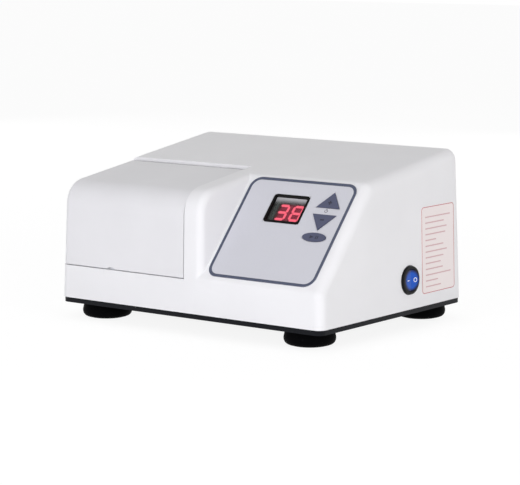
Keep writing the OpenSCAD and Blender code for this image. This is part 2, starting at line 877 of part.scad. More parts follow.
module motor_screws() {
    color([0.75, 0.75, 0.78])
    translate([motor_x, 0, motor_z])
        for (p = motor_places)
            translate([p.x, 0, p.y]) {
                along_y(head_r - 0.2, bracket_y - sunk - 0.2, bracket_y);
                along_y(thread_r, bracket_y, can_y + motor_tap - 1);
            }
}
module rubber_mounts() {
    color([0.1, 0.1, 0.11])
    for (p = mount_places)
        difference() {
            union() {
                translate([p.x, p.y, deck_z]) cylinder(r = mount_r, h = mount_h * 0.3);
                translate([p.x, p.y, deck_z]) cylinder(r = mount_r - 1.2, h = mount_h);
                translate([p.x, p.y, deck_z + mount_h * 0.7]) cylinder(r = mount_r, h = mount_h * 0.3);
            }
            translate([p.x, p.y, deck_z - cut]) cylinder(r = screw_r + run_gap, h = mount_h + 2 * cut);
        }
}
module mount_bolts() {
    top = foot_plate_z + bracket_t;
    color([0.7, 0.7, 0.72])
    for (p = mount_places) {
        screw(p, plate_z, bolt_head_r, sunk, screw_r, top + nut_t + 1);
        nut(p, top, bolt_head_r, nut_t);
    }
}

// Turning parts
module motor_shaft() {
    color([0.78, 0.79, 0.8])
    translate([motor_x, 0, motor_z]) along_y(shaft_r, bush_y - bush_w / 2 + 1.5, shaft_end);
}
module cooling_fan() {
    y0 = can_end + cap_t + fan_gap;
    color([0.1, 0.1, 0.11])
    translate([motor_x, 0, motor_z])
    difference() {
        union() {
            along_y(8, y0, y0 + fan_t);
            along_y(fan_r, y0 + fan_t - 1.2, y0 + fan_t);
            for (a = [0:45:315])
                rotate([0, a, 0]) span([6, y0, -0.8], [fan_r, y0 + fan_t, 0.8]);
        }
        along_y(shaft_r + 0.01, y0 - cut, y0 + fan_t + cut);
    }
}
module counterweight() {
    color([0.55, 0.52, 0.42])
    translate([motor_x, 0, motor_z])
    difference() {
        along_y(weight_r, weight_y, weight_y + weight_t);
        along_y(shaft_r + 0.01, weight_y - cut, weight_y + weight_t + cut);
        translate([shaft_r - 1, 0, 0])
            span([3, weight_y - cut, -far], [far, weight_y + weight_t + cut, far]);
    }
}
// The ball and its socket are turned profiles, so that they clear each other at any angle
ball_steps = 12;
function ball_arc(r, half) = [for (i = [0:ball_steps])
    let (a = asin(half / r) * (2 * i / ball_steps - 1)) [r * cos(a), r * sin(a)]];
module canted_bush() {
    color([0.8, 0.72, 0.45])
    translate([motor_x, bush_y, motor_z])
    intersection() {
        rotate([90, 0, 0])
            rotate_extrude()
                polygon(concat([[shaft_r + 0.01, -bush_w / 2]], ball_arc(ball_r, bush_w / 2),
                    [[shaft_r + 0.01, bush_w / 2]]));
        rotate([bush_cant, 0, 0]) along_y(2 * ball_r, -bush_w / 2 + 1, bush_w / 2 - 1);
    }
}

// Shaken parts: they swing about the bush's centre
module bearing_ring() {
    color([0.7, 0.71, 0.74])
    translate([motor_x, bush_y, motor_z])
    rotate([90, 0, 0])
        rotate_extrude()
            polygon(concat([[ring_r, -ring_w / 2]],
                ball_arc(ball_r + run_gap + 0.03, ring_w / 2), [[ring_r, ring_w / 2]]));
}
module shaker_arm() {
    pin_end = spring_x + 2.5;
    color([0.66, 0.68, 0.7])
    translate([motor_x, 0, motor_z])
    difference() {
        union() {
            along_y(hub_r, hub_front, bush_y + ring_w / 2);
            along_y(rod_r, bar_y + bar_t / 2, hub_front + cut);
            span([-fork_gap / 2 - prong_t, bar_y, -bar_h / 2],
                [clip_x - prong_root_r - 0.5, bar_y + bar_t, bar_h / 2]);
            span([-fork_gap / 2 - prong_t, bar_y - prong_len, -prong_h / 2],
                [-fork_gap / 2, bar_y, prong_h / 2]);
            for (s = [-1, 1]) {
                translate([clip_x, clip_y, s * (bar_h / 2 - lug_t / 2)])
                    cylinder(r = prong_root_r, h = lug_t, center = true);
                translate([0, 0, s * (bar_h / 2 - lug_t / 2)])
                    span([clip_x - prong_root_r - 1, bar_y, -lug_t / 2],
                        [clip_x, bar_y + bar_t, lug_t / 2]);
                translate([0, bush_y, 0])
                    along_x(ear_pin_r, s > 0 ? hub_r - 2.4 : -pin_end, s > 0 ? pin_end : 2.4 - hub_r);
            }
        }
        along_y(ring_r + 0.01, bush_y - ring_w / 2, bush_y + ring_w);
        along_y(ring_r - 2, hub_front + hub_wall, bush_y);
        translate([clip_x, clip_y, 0]) cylinder(r = clip_pin_r + 0.01, h = 2 * bar_h, center = true);
        translate([-fork_gap / 2 - 2 * prong_t, bar_y - prong_len + prong_hole_in, 0])
            along_x(prong_hole_r, 0, 3 * prong_t);
    }
}
module clip_prong() {
    root_h = bar_h - 2 * lug_t - 0.4;
    color([0.74, 0.75, 0.77])
    translate([motor_x, 0, motor_z])
    difference() {
        union() {
            translate([clip_x, clip_y, 0]) cylinder(r = prong_root_r - 0.3, h = root_h, center = true);
            span([clip_x - prong_t / 2, bar_y - 3, -root_h / 2],
                [clip_x + prong_t / 2, clip_y, root_h / 2]);
            span([clip_x - prong_t / 2, bar_y - prong_len, -prong_h / 2],
                [clip_x + prong_t / 2, bar_y - 2, prong_h / 2]);
        }
        translate([clip_x, clip_y, 0]) cylinder(r = clip_pin_r + run_gap, h = 2 * bar_h, center = true);
        translate([clip_x, bar_y - prong_len + prong_hole_in, 0])
            along_x(prong_hole_r, -prong_t, prong_t);
    }
}
clip_spring_h = 3;
module clip_pin() {
    color([0.8, 0.8, 0.82])
    translate([motor_x + clip_x, clip_y, motor_z]) {
        translate([0, 0, -bar_h / 2 - 1]) cylinder(r = clip_pin_r + 0.8, h = 1);
        translate([0, 0, -bar_h / 2]) cylinder(r = clip_pin_r, h = bar_h + clip_spring_h + 0.6);
        translate([0, 0, bar_h / 2 + clip_spring_h + 0.6]) cylinder(r = clip_pin_r + 0.8, h = 1);
    }
}
module clip_spring() {
    wire = 0.6;
    color([0.6, 0.6, 0.62])
    translate([motor_x + clip_x, clip_y, motor_z + bar_h / 2])
        rotate_extrude()
            for (i = [0:2])
                translate([clip_pin_r + 0.15 + wire, wire + i * wire * 1.6]) circle(r = wire, $fn = 24);
}

// Extension spring from the hub's pin down to the bracket's pin
module arm_spring(side) {
    z0 = spring_low;
    z1 = motor_z;
    coil_r = 3.2;
    eye = spring_r + 0.3;
    low = z0 + eye + 1;
    high = z1 - eye - 1;
    turns = floor((high - low) / (1.8 * spring_wire));
    color([0.62, 0.63, 0.65])
    translate([motor_x + side * spring_x, bush_y, 0]) {
        for (z = [z0, z1])
            translate([0, 0, z]) rotate([0, 90, 0])
                rotate_extrude() translate([spring_r + 0.1, 0]) circle(r = 0.85, $fn = 24);
        rotate_extrude()
            for (i = [0:turns])
                translate([coil_r, low + (high - low) * i / turns]) circle(r = spring_wire, $fn = 24);
        for (z = [low, high])
            translate([-coil_r, 0, z]) along_x(0.7, 0, 2 * coil_r);
        translate([0, 0, z0 + spring_r]) cylinder(r = 0.7, h = low - z0 - spring_r);
        translate([0, 0, high]) cylinder(r = 0.7, h = z1 - spring_r - high);
    }
}

// Control label with the openings for the display and the keys
module triangle(s, up, grow) {
    h = key_h / 2 + grow;
    w = key_w / 2 + grow * 1.7;
    translate([0, s])
        polygon(up ? [[-w, -h], [w, -h], [0, h + grow]] : [[-w, h], [w, h], [0, -h - grow]]);
}
module oval(grow) {
    scale_w = key_w / 2 + grow;
    scale_h = start_h / 2 + grow;
    steps = 36;
    polygon([for (i = [0:steps - 1]) [scale_w * cos(i * 360 / steps), scale_h * sin(i * 360 / steps)]]);
}
module key_shape(i, grow) {
    if (i == 0) triangle(panel_top - key_up_s + key_h / 2, true, grow);
    if (i == 1) triangle(panel_top - key_down_s - key_h / 2, false, grow);
    if (i == 2) translate([0, panel_top - key_start_s]) oval(grow);
}
module control_label() {
    color([0.79, 0.79, 0.83])
    on_slope(0, 0, 0)
    linear_extrude(label_t)
    difference() {
        translate([panel_left + label_w / 2, label_s + label_h / 2]) round_tile(label_w, label_h, label_r);
        translate([window_mid.x, window_mid.y]) square([window_w + 0.2, window_h + 0.2], center = true);
        for (i = [0:2])
            translate([key_mid, 0]) key_shape(i, key_gap);
    }
}
module key(i) {
    color([0.34, 0.37, 0.5]) {
        on_slope(key_mid, 0, 0.02 + key_travel)
            linear_extrude(key_out - 0.02) key_shape(i, 0);
        on_slope(key_points[i].x, key_points[i].y, -switch_top + key_travel + 0.1)
            cylinder(r = stem_r, h = switch_top + 0.2);
    }
}
module key_up() { key(0); }
module key_down() { key(1); }
module key_start() { key(2); }

// Display: a frame through the wall, a smoked pane and the two-digit module
module display_frame() {
    color([0.03, 0.03, 0.035])
    on_slope(window_mid.x, window_mid.y, 0)
    difference() {
        union() {
            linear_extrude(frame_lip) round_tile(window_w, window_h, 3);
            translate([0, 0, -frame_deep])
                linear_extrude(frame_deep) square(window_hole - [0.2, 0.2], center = true);
        }
        translate([0, 0, -frame_deep - cut])
            linear_extrude(frame_deep + 3) square(window_clear, center = true);
        translate([0, 0, -frame_deep - cut])
            linear_extrude(cut + frame_deep - pane_deep)
                square(window_clear + 2 * [pane_lap + 0.1, pane_lap + 0.1], center = true);
    }
}
module display_window() {
    color([0.35, 0.1, 0.12, 0.5])
    on_slope(window_mid.x, window_mid.y, -pane_deep - pane_t)
        linear_extrude(pane_t)
            square(window_clear + 2 * [pane_lap, pane_lap], center = true);
}
module display_module() {
    color([0.15, 0.05, 0.05])
    on_slope(window_mid.x, window_mid.y, -board_depth)
        linear_extrude(board_depth - frame_deep - digits_gap) square(digits_size, center = true);
}
module control_board() {
    color([0.1, 0.35, 0.2])
    on_slope(0, 0, -board_depth - board_t)
    difference() {
        span([board_x[0], board_s[0], 0], [board_x[1], board_s[1], board_t]);
        for (p = board_post)
            translate([p.x, p.y, -cut]) cylinder(r = board_screw_r + run_gap, h = board_t + 2 * cut);
    }
}
module board_screws() {
    color([0.75, 0.75, 0.78])
    for (p = board_post)
        on_slope(p.x, p.y, -board_depth - board_t) {
            translate([0, 0, -1.6]) cylinder(r = 2.4, h = 1.6);
            cylinder(r = board_screw_r, h = board_t + 5);
        }
}
module key_switches() {
    color([0.2, 0.2, 0.22])
    for (p = key_points)
        on_slope(p.x, p.y, -board_depth) {
            translate([-key_switch.x / 2, -key_switch.y / 2, 0]) cube(key_switch);
            cylinder(r = plunger_r, h = board_depth - switch_top);
        }
}
module buzzer() {
    color([0.08, 0.08, 0.09])
    on_slope(board_x[0] + buzzer_in.x, board_s[0] + buzzer_in.y, -board_depth)
    difference() {
        cylinder(r = buzzer_r, h = buzzer_h);
        translate([0, 0, buzzer_h - 2.5]) cylinder(r = buzzer_r / 6, h = 4);
    }
}

// Power electronics on the base plate
module power_board() {
    color([0.12, 0.32, 0.2])
    difference() {
        span([power_x[0], power_y[0], power_z], [power_x[1], power_y[1], power_z + board_t]);
        for (p = post_places)
            translate([p.x, p.y, power_z - cut]) cylinder(r = thread_r + run_gap, h = board_t + 2 * cut);
    }
}
module board_standoffs() {
    color([0.78, 0.68, 0.4])
    for (p = post_places) {
        translate([p.x, p.y, deck_z]) cylinder(r = standoff_r, h = power_z - deck_z, $fn = 6);
        translate([p.x, p.y, power_z]) cylinder(r = thread_r, h = board_t);
        translate([p.x, p.y, power_z + board_t]) cylinder(r = head_r, h = sunk);
        translate([p.x, p.y, plate_z]) cylinder(r = head_r, h = sunk);
        translate([p.x, p.y, plate_z]) cylinder(r = thread_r, h = plate_t);
    }
}
module capacitors() {
    color([0.15, 0.2, 0.45])
    for (s = [-1, 1])
        translate([power_mid + s * cap_pitch / 2, power_y[0] + cap_at, power_top])
            cylinder(r = cap_r, h = cap_h);
}
module heat_sink() {
    color([0.6, 0.62, 0.64])
    translate([power_mid, power_y[0] + sink_at, power_top]) {
        span([-sink_size.x / 2, -sink_t / 2, 0], [sink_size.x / 2, sink_t / 2, sink_size.z]);
        for (i = [-3:3])
            span([i * fin_pitch - fin_t / 2, sink_t / 2, 0],
                [i * fin_pitch + fin_t / 2, sink_size.y, sink_size.z]);
    }
}
module terminal_block() {
    half = block_size / 2;
    color([0.15, 0.4, 0.25])
    translate([power_mid, power_y[1] - block_at, power_top])
    difference() {
        span([-half.x, -half.y, 0], [half.x, half.y, block_size.z]);
        for (i = [-1.5:1.5])
            translate([i * terminal_pitch, 0, block_size.z - 4]) cylinder(r = terminal_r, h = 6);
    }
}
core_z = deck_z + frame_t;
window_mid_x = core_size.x / 2 - core_limb - window_size.x / 2 - 2;
module transformer_core() {
    color([0.4, 0.41, 0.44])
    translate([trans_x, trans_y, core_z])
    difference() {
        span([-core_size.x / 2, -core_size.y / 2, 0], [core_size.x / 2, core_size.y / 2, core_size.z]);
        for (s = [-1, 1])
            translate([s * window_mid_x, 0, core_size.z / 2])
                cube([window_size.x, 2 * core_size.y, window_size.y], center = true);
    }
}
module transformer_coil() {
    inner = window_mid_x - window_size.x / 2 + coil_gap;
    outer = window_mid_x + window_size.x / 2 - coil_gap;
    color([0.75, 0.55, 0.2])
    translate([trans_x, trans_y, core_z + core_size.z / 2])
    difference() {
        cube([2 * outer, core_size.y + 2 * coil_out, window_size.y - 2 * coil_gap], center = true);
        cube([2 * inner, core_size.y + 2 * coil_gap, window_size.y + cut], center = true);
    }
}
module transformer_frame() {
    ear_x = core_size.x / 2 + frame_ear;
    strap_x = core_size.x / 2 + strap_gap + strap_t / 2;
    color([0.7, 0.7, 0.72])
    translate([trans_x, trans_y, deck_z])
    difference() {
        union() {
            span([-ear_x, -strap_w / 2, 0], [ear_x, strap_w / 2, frame_t]);
            for (s = [-1, 1])
                translate([s * strap_x - strap_t / 2, -strap_w / 2, 0]) cube([strap_t, strap_w, strap_h]);
        }
        for (s = [-1, 1])
            translate([s * (core_size.x / 2 + frame_hole_in), 0, -cut])
                cylinder(r = thread_r + run_gap, h = frame_t + 2 * cut);
    }
}

// Round rocker switch in the right-hand wall
rocker_deep = 1.2;
rocker_pin_r = 1.2;
bezel_t = 2;
switch_deep = 20;
switch_well = 7;
tag_l = 7;
tag_w = 4.8;
tag_t = 0.8;
tag_pitch = 6;
module switch_body() {
    color([0.04, 0.04, 0.045])
    on_right(switch_at, switch_z)
    difference() {
        union() {
            cylinder(r1 = bezel_r, r2 = bezel_r - 0.7, h = bezel_t);
            translate([0, 0, -switch_deep]) cylinder(r = switch_r, h = switch_deep);
            for (s = [-1:1])
                translate([-tag_t / 2, s * tag_pitch - tag_w / 2, -switch_deep - tag_l])
                    cube([tag_t, tag_w, tag_l + 1]);
        }
        translate([0, 0, -switch_well]) cylinder(r = rocker_r + 0.6, h = switch_well + 3);
        translate([0, 0, -rocker_deep])
            rotate([0, 90, 0])
                cylinder(r = rocker_pin_r + run_gap, h = 2 * rocker_r + 2.6, center = true);
    }
}
module switch_rocker() {
    rise = 4.4;
    dip = 1.6;
    side = [[dip, 0], [0, bezel_r], [-rise, bezel_r], [dip - rise, 0], [-rise, -bezel_r], [0, -bezel_r]];
    color([0.12, 0.32, 0.85])
    on_right(switch_at, switch_z)
        translate([0, 0, -rocker_deep])
            rotate([rocker_tilt, 0, 0]) {
                intersection() {
                    translate([0, 0, -5]) cylinder(r = rocker_r, h = 12);
                    rotate([0, 90, 0])
                        linear_extrude(2 * bezel_r, center = true) polygon(side);
                }
                rotate([0, 90, 0]) cylinder(r = rocker_pin_r, h = 2 * rocker_r + 2.2, center = true);
            }
}

// Mains inlet with its fuse drawer in the rear wall
module mains_inlet() {
    color([0.05, 0.05, 0.055])
    on_rear(inlet_x, inlet_z) {
        difference() {
            union() {
                linear_extrude(flange_t) square([inlet_flange.x, inlet_flange.y], center = true);
                translate([0, 0, -inlet_deep])
                    linear_extrude(inlet_deep) square([inlet_body.x, inlet_body.y], center = true);
            }
            translate([0, -socket_up, -socket_deep])
                linear_extrude(socket_deep + 4)
                    square([socket_size.x, socket_size.y], center = true);
            translate([0, -drawer_up, -drawer_deep - drawer_gap - 0.1])
                linear_extrude(drawer_deep + 4)
                    square(drawer_size + 2 * [drawer_gap, drawer_gap], center = true);
            for (s = [-1, 1])
                translate([s * inlet_pitch / 2, 0, -cut]) cylinder(r = inlet_screw_r + run_gap, h = 5);
        }
        for (i = [-1:1])
            translate([i * contact_gap, (i == 0 ? -1 : 1) * contact_low - socket_up, -socket_deep - 0.5])
                translate([-contact_size.x / 2, -contact_size.y / 2, 0]) cube(contact_size);
        for (s = [-1, 1])
            translate([s * inlet_pitch / 2, 0, 0]) {
                translate([0, 0, -2 * wall]) cylinder(r = inlet_screw_r, h = 2 * wall + flange_t);
                translate([0, 0, flange_t]) cylinder(r = head_r - 0.2, h = inlet_head_t);
            }
    }
}
fuse_r = 2.6;
fuse_l = 20;
module fuse_drawer() {
    seat_r = fuse_r + 0.1;
    seat_l = fuse_l + 0.4;
    color([0.07, 0.07, 0.075])
    on_rear(inlet_x, inlet_z)
        translate([0, -drawer_up, 0])
        difference() {
            union() {
                translate([0, 0, -drawer_deep])
                    linear_extrude(drawer_deep + flange_t) square(drawer_size, center = true);
                translate([0, 0, flange_t])
                    linear_extrude(1) square([drawer_size.x - 9, 2.2], center = true);
            }
            translate([0, 0, -drawer_deep / 2])
                rotate([0, 90, 0]) cylinder(r = seat_r, h = seat_l, center = true);
            translate([-seat_l / 2, -drawer_size.y, -drawer_deep / 2 - seat_r])
                cube([seat_l, drawer_size.y, 2 * seat_r]);
        }
}
module fuse() {
    color([0.8, 0.82, 0.84])
    on_rear(inlet_x, inlet_z)
        translate([0, -drawer_up, -drawer_deep / 2])
            rotate([0, 90, 0]) cylinder(r = fuse_r, h = fuse_l, center = true);
}

// Inner wiring, laid from point to point
wire_r = 1.3;
module lead(points, r) {
    for (i = [0:len(points) - 2]) {
        d = points[i + 1] - points[i];
        translate(points[i])
            rotate([0, acos(d.z / norm(d)), atan2(d.y, d.x)]) cylinder(r = r, h = norm(d), $fn = 24);
        if (i > 0) translate(points[i]) sphere(r = r + 0.1, $fn = 24);
    }
}
module wiring() {
    block_y = power_y[1] - block_at;
    block_top = power_top + block_size.z;
    last_x = power_mid + 1.5 * terminal_pitch;
    tag_x = side_x(switch_z, 0) - switch_deep - tag_l;
    rear_y = body_d / 2 - inlet_deep - 2;
    up = inlet_z + 8;
    color([0.5, 0.12, 0.1]) {
        lead([[last_x, block_y, block_top + 0.2], [last_x + 6.5, block_y, block_top + 12],
            [inlet_x - 6, rear_y - 5, up], [inlet_x - 6, rear_y + 0.7, up]], wire_r);
        lead([[tag_x - 2, switch_at + 6, switch_z], [tag_x - 8.5, switch_at + 8, switch_z + 4],
            [inlet_x + 6, rear_y - 5, up], [inlet_x + 6, rear_y + 0.7, up]], wire_r);
    }
}

// Rating label on the right-hand wall
module rating_label() {
    color([0.97, 0.93, 0.93])
    on_right(rating_at + rating_w / 2, deck_z + rating_h + rating_l / 2)
        linear_extrude(0.3) round_tile(rating_l, rating_w, 3);
}

housing();
lid();
base_plate();
foot(foot_places[0]);  // foot_front_left
foot(foot_places[1]);  // foot_front_right
foot(foot_places[2]);  // foot_rear_left
foot(foot_places[3]);  // foot_rear_right
foot_screws();
case_screws();
mixing_chamber();
hinge_screws();
chamber_seal();
hinge_bracket(ear_left_x);  // hinge_bracket_left
hinge_bracket(ear_right_x);  // hinge_bracket_right
hinge_pin();
lid_magnet();
lid_sensor();
motor_can();
motor_end_cap();
motor_bracket();
motor_screws();
rubber_mounts();
mount_bolts();
motor_shaft();
cooling_fan();
counterweight();
canted_bush();
bearing_ring();
shaker_arm();
arm_spring(-1);  // arm_spring_left
arm_spring(1);  // arm_spring_right
clip_prong();
clip_pin();
clip_spring();
control_label();
display_frame();
display_window();
display_module();
control_board();
board_screws();
key_switches();
key_up();
key_down();
key_start();
buzzer();
power_board();
board_standoffs();
capacitors();
heat_sink();
terminal_block();
transformer_core();
transformer_coil();
transformer_frame();
switch_body();
switch_rocker();
mains_inlet();
fuse_drawer();
fuse();
wiring();
rating_label();
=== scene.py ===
import json
import math

import bpy
from mathutils import Matrix, Vector


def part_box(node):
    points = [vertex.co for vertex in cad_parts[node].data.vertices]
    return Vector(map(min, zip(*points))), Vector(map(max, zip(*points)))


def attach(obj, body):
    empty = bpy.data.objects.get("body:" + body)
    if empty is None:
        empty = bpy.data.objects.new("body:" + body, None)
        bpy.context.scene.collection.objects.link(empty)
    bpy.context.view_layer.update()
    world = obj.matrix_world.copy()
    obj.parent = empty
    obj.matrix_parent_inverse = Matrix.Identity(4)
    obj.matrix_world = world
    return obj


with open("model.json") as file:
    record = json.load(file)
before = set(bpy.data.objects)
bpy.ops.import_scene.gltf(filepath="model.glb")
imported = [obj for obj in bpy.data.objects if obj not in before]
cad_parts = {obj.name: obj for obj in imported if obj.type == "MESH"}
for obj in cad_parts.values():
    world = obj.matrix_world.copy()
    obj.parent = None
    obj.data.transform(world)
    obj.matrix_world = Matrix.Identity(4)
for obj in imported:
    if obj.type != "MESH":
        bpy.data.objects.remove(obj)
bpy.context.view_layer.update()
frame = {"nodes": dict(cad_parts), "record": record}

mm = 0.001
white = (1.0, 1.0, 1.0)


# A socket in a node tree. An expression on these adds Math nodes.
class Val:
    def __init__(self, finish, socket):
        self.finish = finish
        self.socket = socket

    def calc(self, operation, *others):
        return self.finish.calc(operation, self, *others)

    def __add__(self, other):
        return self.calc("ADD", other)

    def __sub__(self, other):
        return self.calc("SUBTRACT", other)

    def __rsub__(self, other):
        return self.finish.calc("SUBTRACT", other, self)

    def __mul__(self, other):
        return self.calc("MULTIPLY", other)

    def __pow__(self, other):
        return self.calc("POWER", other)

    def __rpow__(self, other):
        return self.finish.calc("POWER", other, self)

    __radd__ = __add__
    __rmul__ = __mul__

    def step(self, low, high):                    # 0 below low, 1 above high, smooth between
        return self.finish.add("MapRange", {"interpolation_type": "SMOOTHSTEP"},
                               {"Value": self, "From Min": low, "From Max": high})

    def capped(self):                             # kept between 0 and 1
        return self.finish.add("Clamp", {}, {"Value": self})


# The node tree of a material or of the world, under construction
class Finish:
    def __init__(self, owner):
        owner.use_nodes = True
        self.owner = owner
        self.tree = owner.node_tree
        self.tree.nodes.clear()

    # Adds one node: its settings first, then the values or links of its sockets.
    # It gives back the chosen output, or the node itself where the output is None.
    def add(self, kind, settings, sockets, output=0):
        node = self.tree.nodes.new("ShaderNode" + kind)
        for key, value in settings.items():
            setattr(node, key, value)
        for key, value in sockets.items():
            entry = node.inputs[key]
            if isinstance(value, Val):
                self.tree.links.new(value.socket, entry)
            elif entry.type == "RGBA":
                entry.default_value = value + (1.0,)
            else:
                entry.default_value = value
        if output is None:
            return node
        return Val(self, node.outputs[output])

    def calc(self, operation, *values):
        return self.add("Math", {"operation": operation}, dict(enumerate(values)))

    def place(self):                              # the point on the piece, in the piece's own axes
        return self.add("TexCoord", {}, {}, "Object")

    def axes(self, point):
        parts = self.add("SeparateXYZ", {}, {0: point}, None)
        return [Val(self, output) for output in parts.outputs]

    def stretched(self, point, scale):
        return self.add("VectorMath", {"operation": "MULTIPLY"}, {0: point, 1: scale})

    def noise(self, point, scale, detail, rough=0.5):
        return self.add("TexNoise", {}, {
            "Vector": point, "Scale": scale, "Detail": detail, "Roughness": rough})

    def mixed(self, share, first, second):        # a Mix node's colours are its sockets 6, 7 and output 2
        return self.add("Mix", {"data_type": "RGBA"}, {0: share, 6: first, 7: second}, 2)

    def bumped(self, height, depth, strength):    # depth in millimetres
        return self.add("Bump", {}, {"Height": height, "Distance": depth * mm, "Strength": strength})

    def surface(self, sockets):
        return self.add("BsdfPrincipled", {}, sockets)

    def done(self, shader, kind="OutputMaterial"):
        self.add(kind, {}, {"Surface": shader}, None)
        return self.owner


def shade(color, factor):
    return tuple(channel * factor for channel in color)


def raised(lift):                                 # a move outwards, in millimetres
    return Matrix.Translation((0, 0, lift * mm))


# The sloped panel's own axes: x along the label from its left edge, y up the slope, z outwards
panel = {"angle": 48.9, "labelThick": 0.5}
tilt = math.radians(panel["angle"])
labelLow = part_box("control_label")[0]
panelCorner = Vector((labelLow.x, labelLow.y + math.sin(tilt) * panel["labelThick"] * mm, labelLow.z))


def onPanel(lift):
    return Matrix.Translation(panelCorner) @ Matrix.Rotation(tilt, 4, "X") @ raised(lift)


def upSlope(y, z):                                # a point's distance along the slope from the origin
    return y * math.cos(tilt) + z * math.sin(tilt)


# The right-hand wall's own axes: x up the wall, y to the front, z outwards
wall = {"draft": 1.5}                             # in degrees, the same on every wall
draft = math.radians(wall["draft"])
upWall = (-math.sin(draft), 0, math.cos(draft))
toFront = (0, -1, 0)
outOfWall = (math.cos(draft), 0, math.sin(draft))


def onWall(origin):
    axes = Matrix((upWall, toFront, outOfWall)).transposed().to_4x4()
    return Matrix.Translation(origin) @ axes


# Satin moulded plastic: a fine spark-eroded grain, faint flow mottling and a little uneven gloss
def mouldedPlastic(name, color, matt, grain=0.45, depth=0.02, mottle=0.025, coat=0.0, shine=0.25):
    skin = Finish(bpy.data.materials.new(name))
    at = skin.place()
    flow = skin.noise(at, scale=14.0, detail=3.0)
    fine = skin.noise(at, scale=1 / (grain * mm), detail=2.0, rough=0.6)
    paint = skin.mixed(flow.step(0.3, 0.7), shade(color, 1 - mottle), shade(color, 1 + mottle / 2))
    return skin.done(skin.surface({
        "Base Color": paint, "Roughness": (flow - 0.5) * 0.08 + (fine - 0.5) * 0.06 + matt,
        "Coat Weight": coat, "Coat Roughness": 0.12, "Specular IOR Level": shine,
        "Normal": skin.bumped(fine, depth, strength=0.6)}))


# Powder coat: orange-peel skin over metal
def powderCoat(name, color):
    skin = Finish(bpy.data.materials.new(name))
    at = skin.place()
    peel = skin.noise(at, scale=900.0, detail=2.0)
    wide = skin.noise(at, scale=25.0, detail=3.0)
    paint = skin.mixed(peel.step(0.35, 0.75), color, shade(color, 1.7))
    return skin.done(skin.surface({
        "Base Color": paint, "Roughness": wide * 0.15 + 0.35, "Specular IOR Level": 0.14,
        "Normal": skin.bumped(peel, depth=0.05, strength=0.7)}))


# Matt rubber with a dusty bloom near the table
dust = {"color": (0.05, 0.05, 0.05), "high": 8.0}


def mouldedRubber(name, color, bloom, shine):
    skin = Finish(bpy.data.materials.new(name))
    at = skin.place()
    grain = skin.noise(at, scale=1400.0, detail=3.0, rough=0.6)
    patches = skin.noise(at, scale=60.0, detail=4.0, rough=0.6)
    height = skin.axes(at)[2]
    low = 1 - height.step(0.0, dust["high"] * mm)
    paint = skin.mixed(low * patches.step(0.45, 0.75) * bloom, color, dust["color"])
    return skin.done(skin.surface({
        "Base Color": paint, "Roughness": patches * 0.2 + 0.5, "Specular IOR Level": shine,
        "Normal": skin.bumped(grain, depth=0.04, strength=0.5)}))


# Metal with a drawn or brushed grain along one axis, and darker spots on some
drawnGrain = 0.03                                 # the grain's change along its axis, against 1 across it


def drawnMetal(name, color, along, matt, grain=2600.0, spots=0.0):
    skin = Finish(bpy.data.materials.new(name))
    at = skin.place()
    stretch = tuple(drawnGrain if axis == along else 1.0 for axis in "xyz")
    lines = skin.noise(skin.stretched(at, stretch), scale=grain, detail=2.0, rough=0.6)
    wide = skin.noise(at, scale=80.0, detail=3.0, rough=0.6)
    paint = skin.mixed(lines.step(0.3, 0.7), shade(color, 0.86), color)
    if spots:
        paint = skin.mixed(wide.step(0.55, 0.7) * spots, paint, shade(color, 0.55))
    return skin.done(skin.surface({
        "Base Color": paint, "Metallic": 1.0, "Roughness": (lines - 0.5) * 0.16 + wide * 0.1 + matt,
        "Normal": skin.bumped(lines, depth=0.01, strength=0.5)}))


# Die-cast alloy: a pebbled skin with darker patches
def castAlloy(name, color):
    skin = Finish(bpy.data.materials.new(name))
    at = skin.place()
    pebbles = skin.noise(at, scale=1100.0, detail=3.0, rough=0.55)
    wide = skin.noise(at, scale=90.0, detail=3.0, rough=0.6)
    paint = skin.mixed(wide.step(0.3, 0.7), shade(color, 0.8), color)
    return skin.done(skin.surface({
        "Base Color": paint, "Metallic": 1.0, "Roughness": pebbles * 0.2 + 0.34,
        "Normal": skin.bumped(pebbles, depth=0.06, strength=0.7)}))


# Laminated core: thin sheets stacked from front to back, with rust in patches
rustBrown = (0.16, 0.10, 0.07)


def laminatedCore(name, color, sheet):
    skin = Finish(bpy.data.materials.new(name))
    at = skin.place()
    depth = skin.axes(at)[1]
    stripe = (depth * (2 * math.pi / (sheet * mm))).calc("SINE")
    rust = skin.noise(at, scale=160.0, detail=4.0, rough=0.65)
    paint = skin.mixed(rust.step(0.55, 0.75), color, rustBrown)
    return skin.done(skin.surface({
        "Base Color": paint, "Metallic": 0.85, "Roughness": rust * 0.3 + 0.35,
        "Normal": skin.bumped(stripe, depth=0.05, strength=0.5)}))


# Wound tape over a coil: overlapping turns with a waxy sheen
def woundTape(name, color, turn):
    skin = Finish(bpy.data.materials.new(name))
    at = skin.place()
    height = skin.axes(at)[2]
    lap = (height * (1 / (turn * mm))).calc("FRACT")
    edge = 1 - lap.step(0.0, 0.06)
    stain = skin.noise(at, scale=110.0, detail=3.0, rough=0.6)
    paint = skin.mixed(stain.step(0.3, 0.8), color, shade(color, 0.75))
    paint = skin.mixed(edge * 0.6, paint, shade(color, 0.4))
    return skin.done(skin.surface({
        "Base Color": paint, "Roughness": stain * 0.2 + 0.3,
        "Normal": skin.bumped(lap, depth=0.12, strength=0.6)}))


# Circuit board: solder mask over tracks, and tinned pads
padTin = (0.62, 0.60, 0.52)


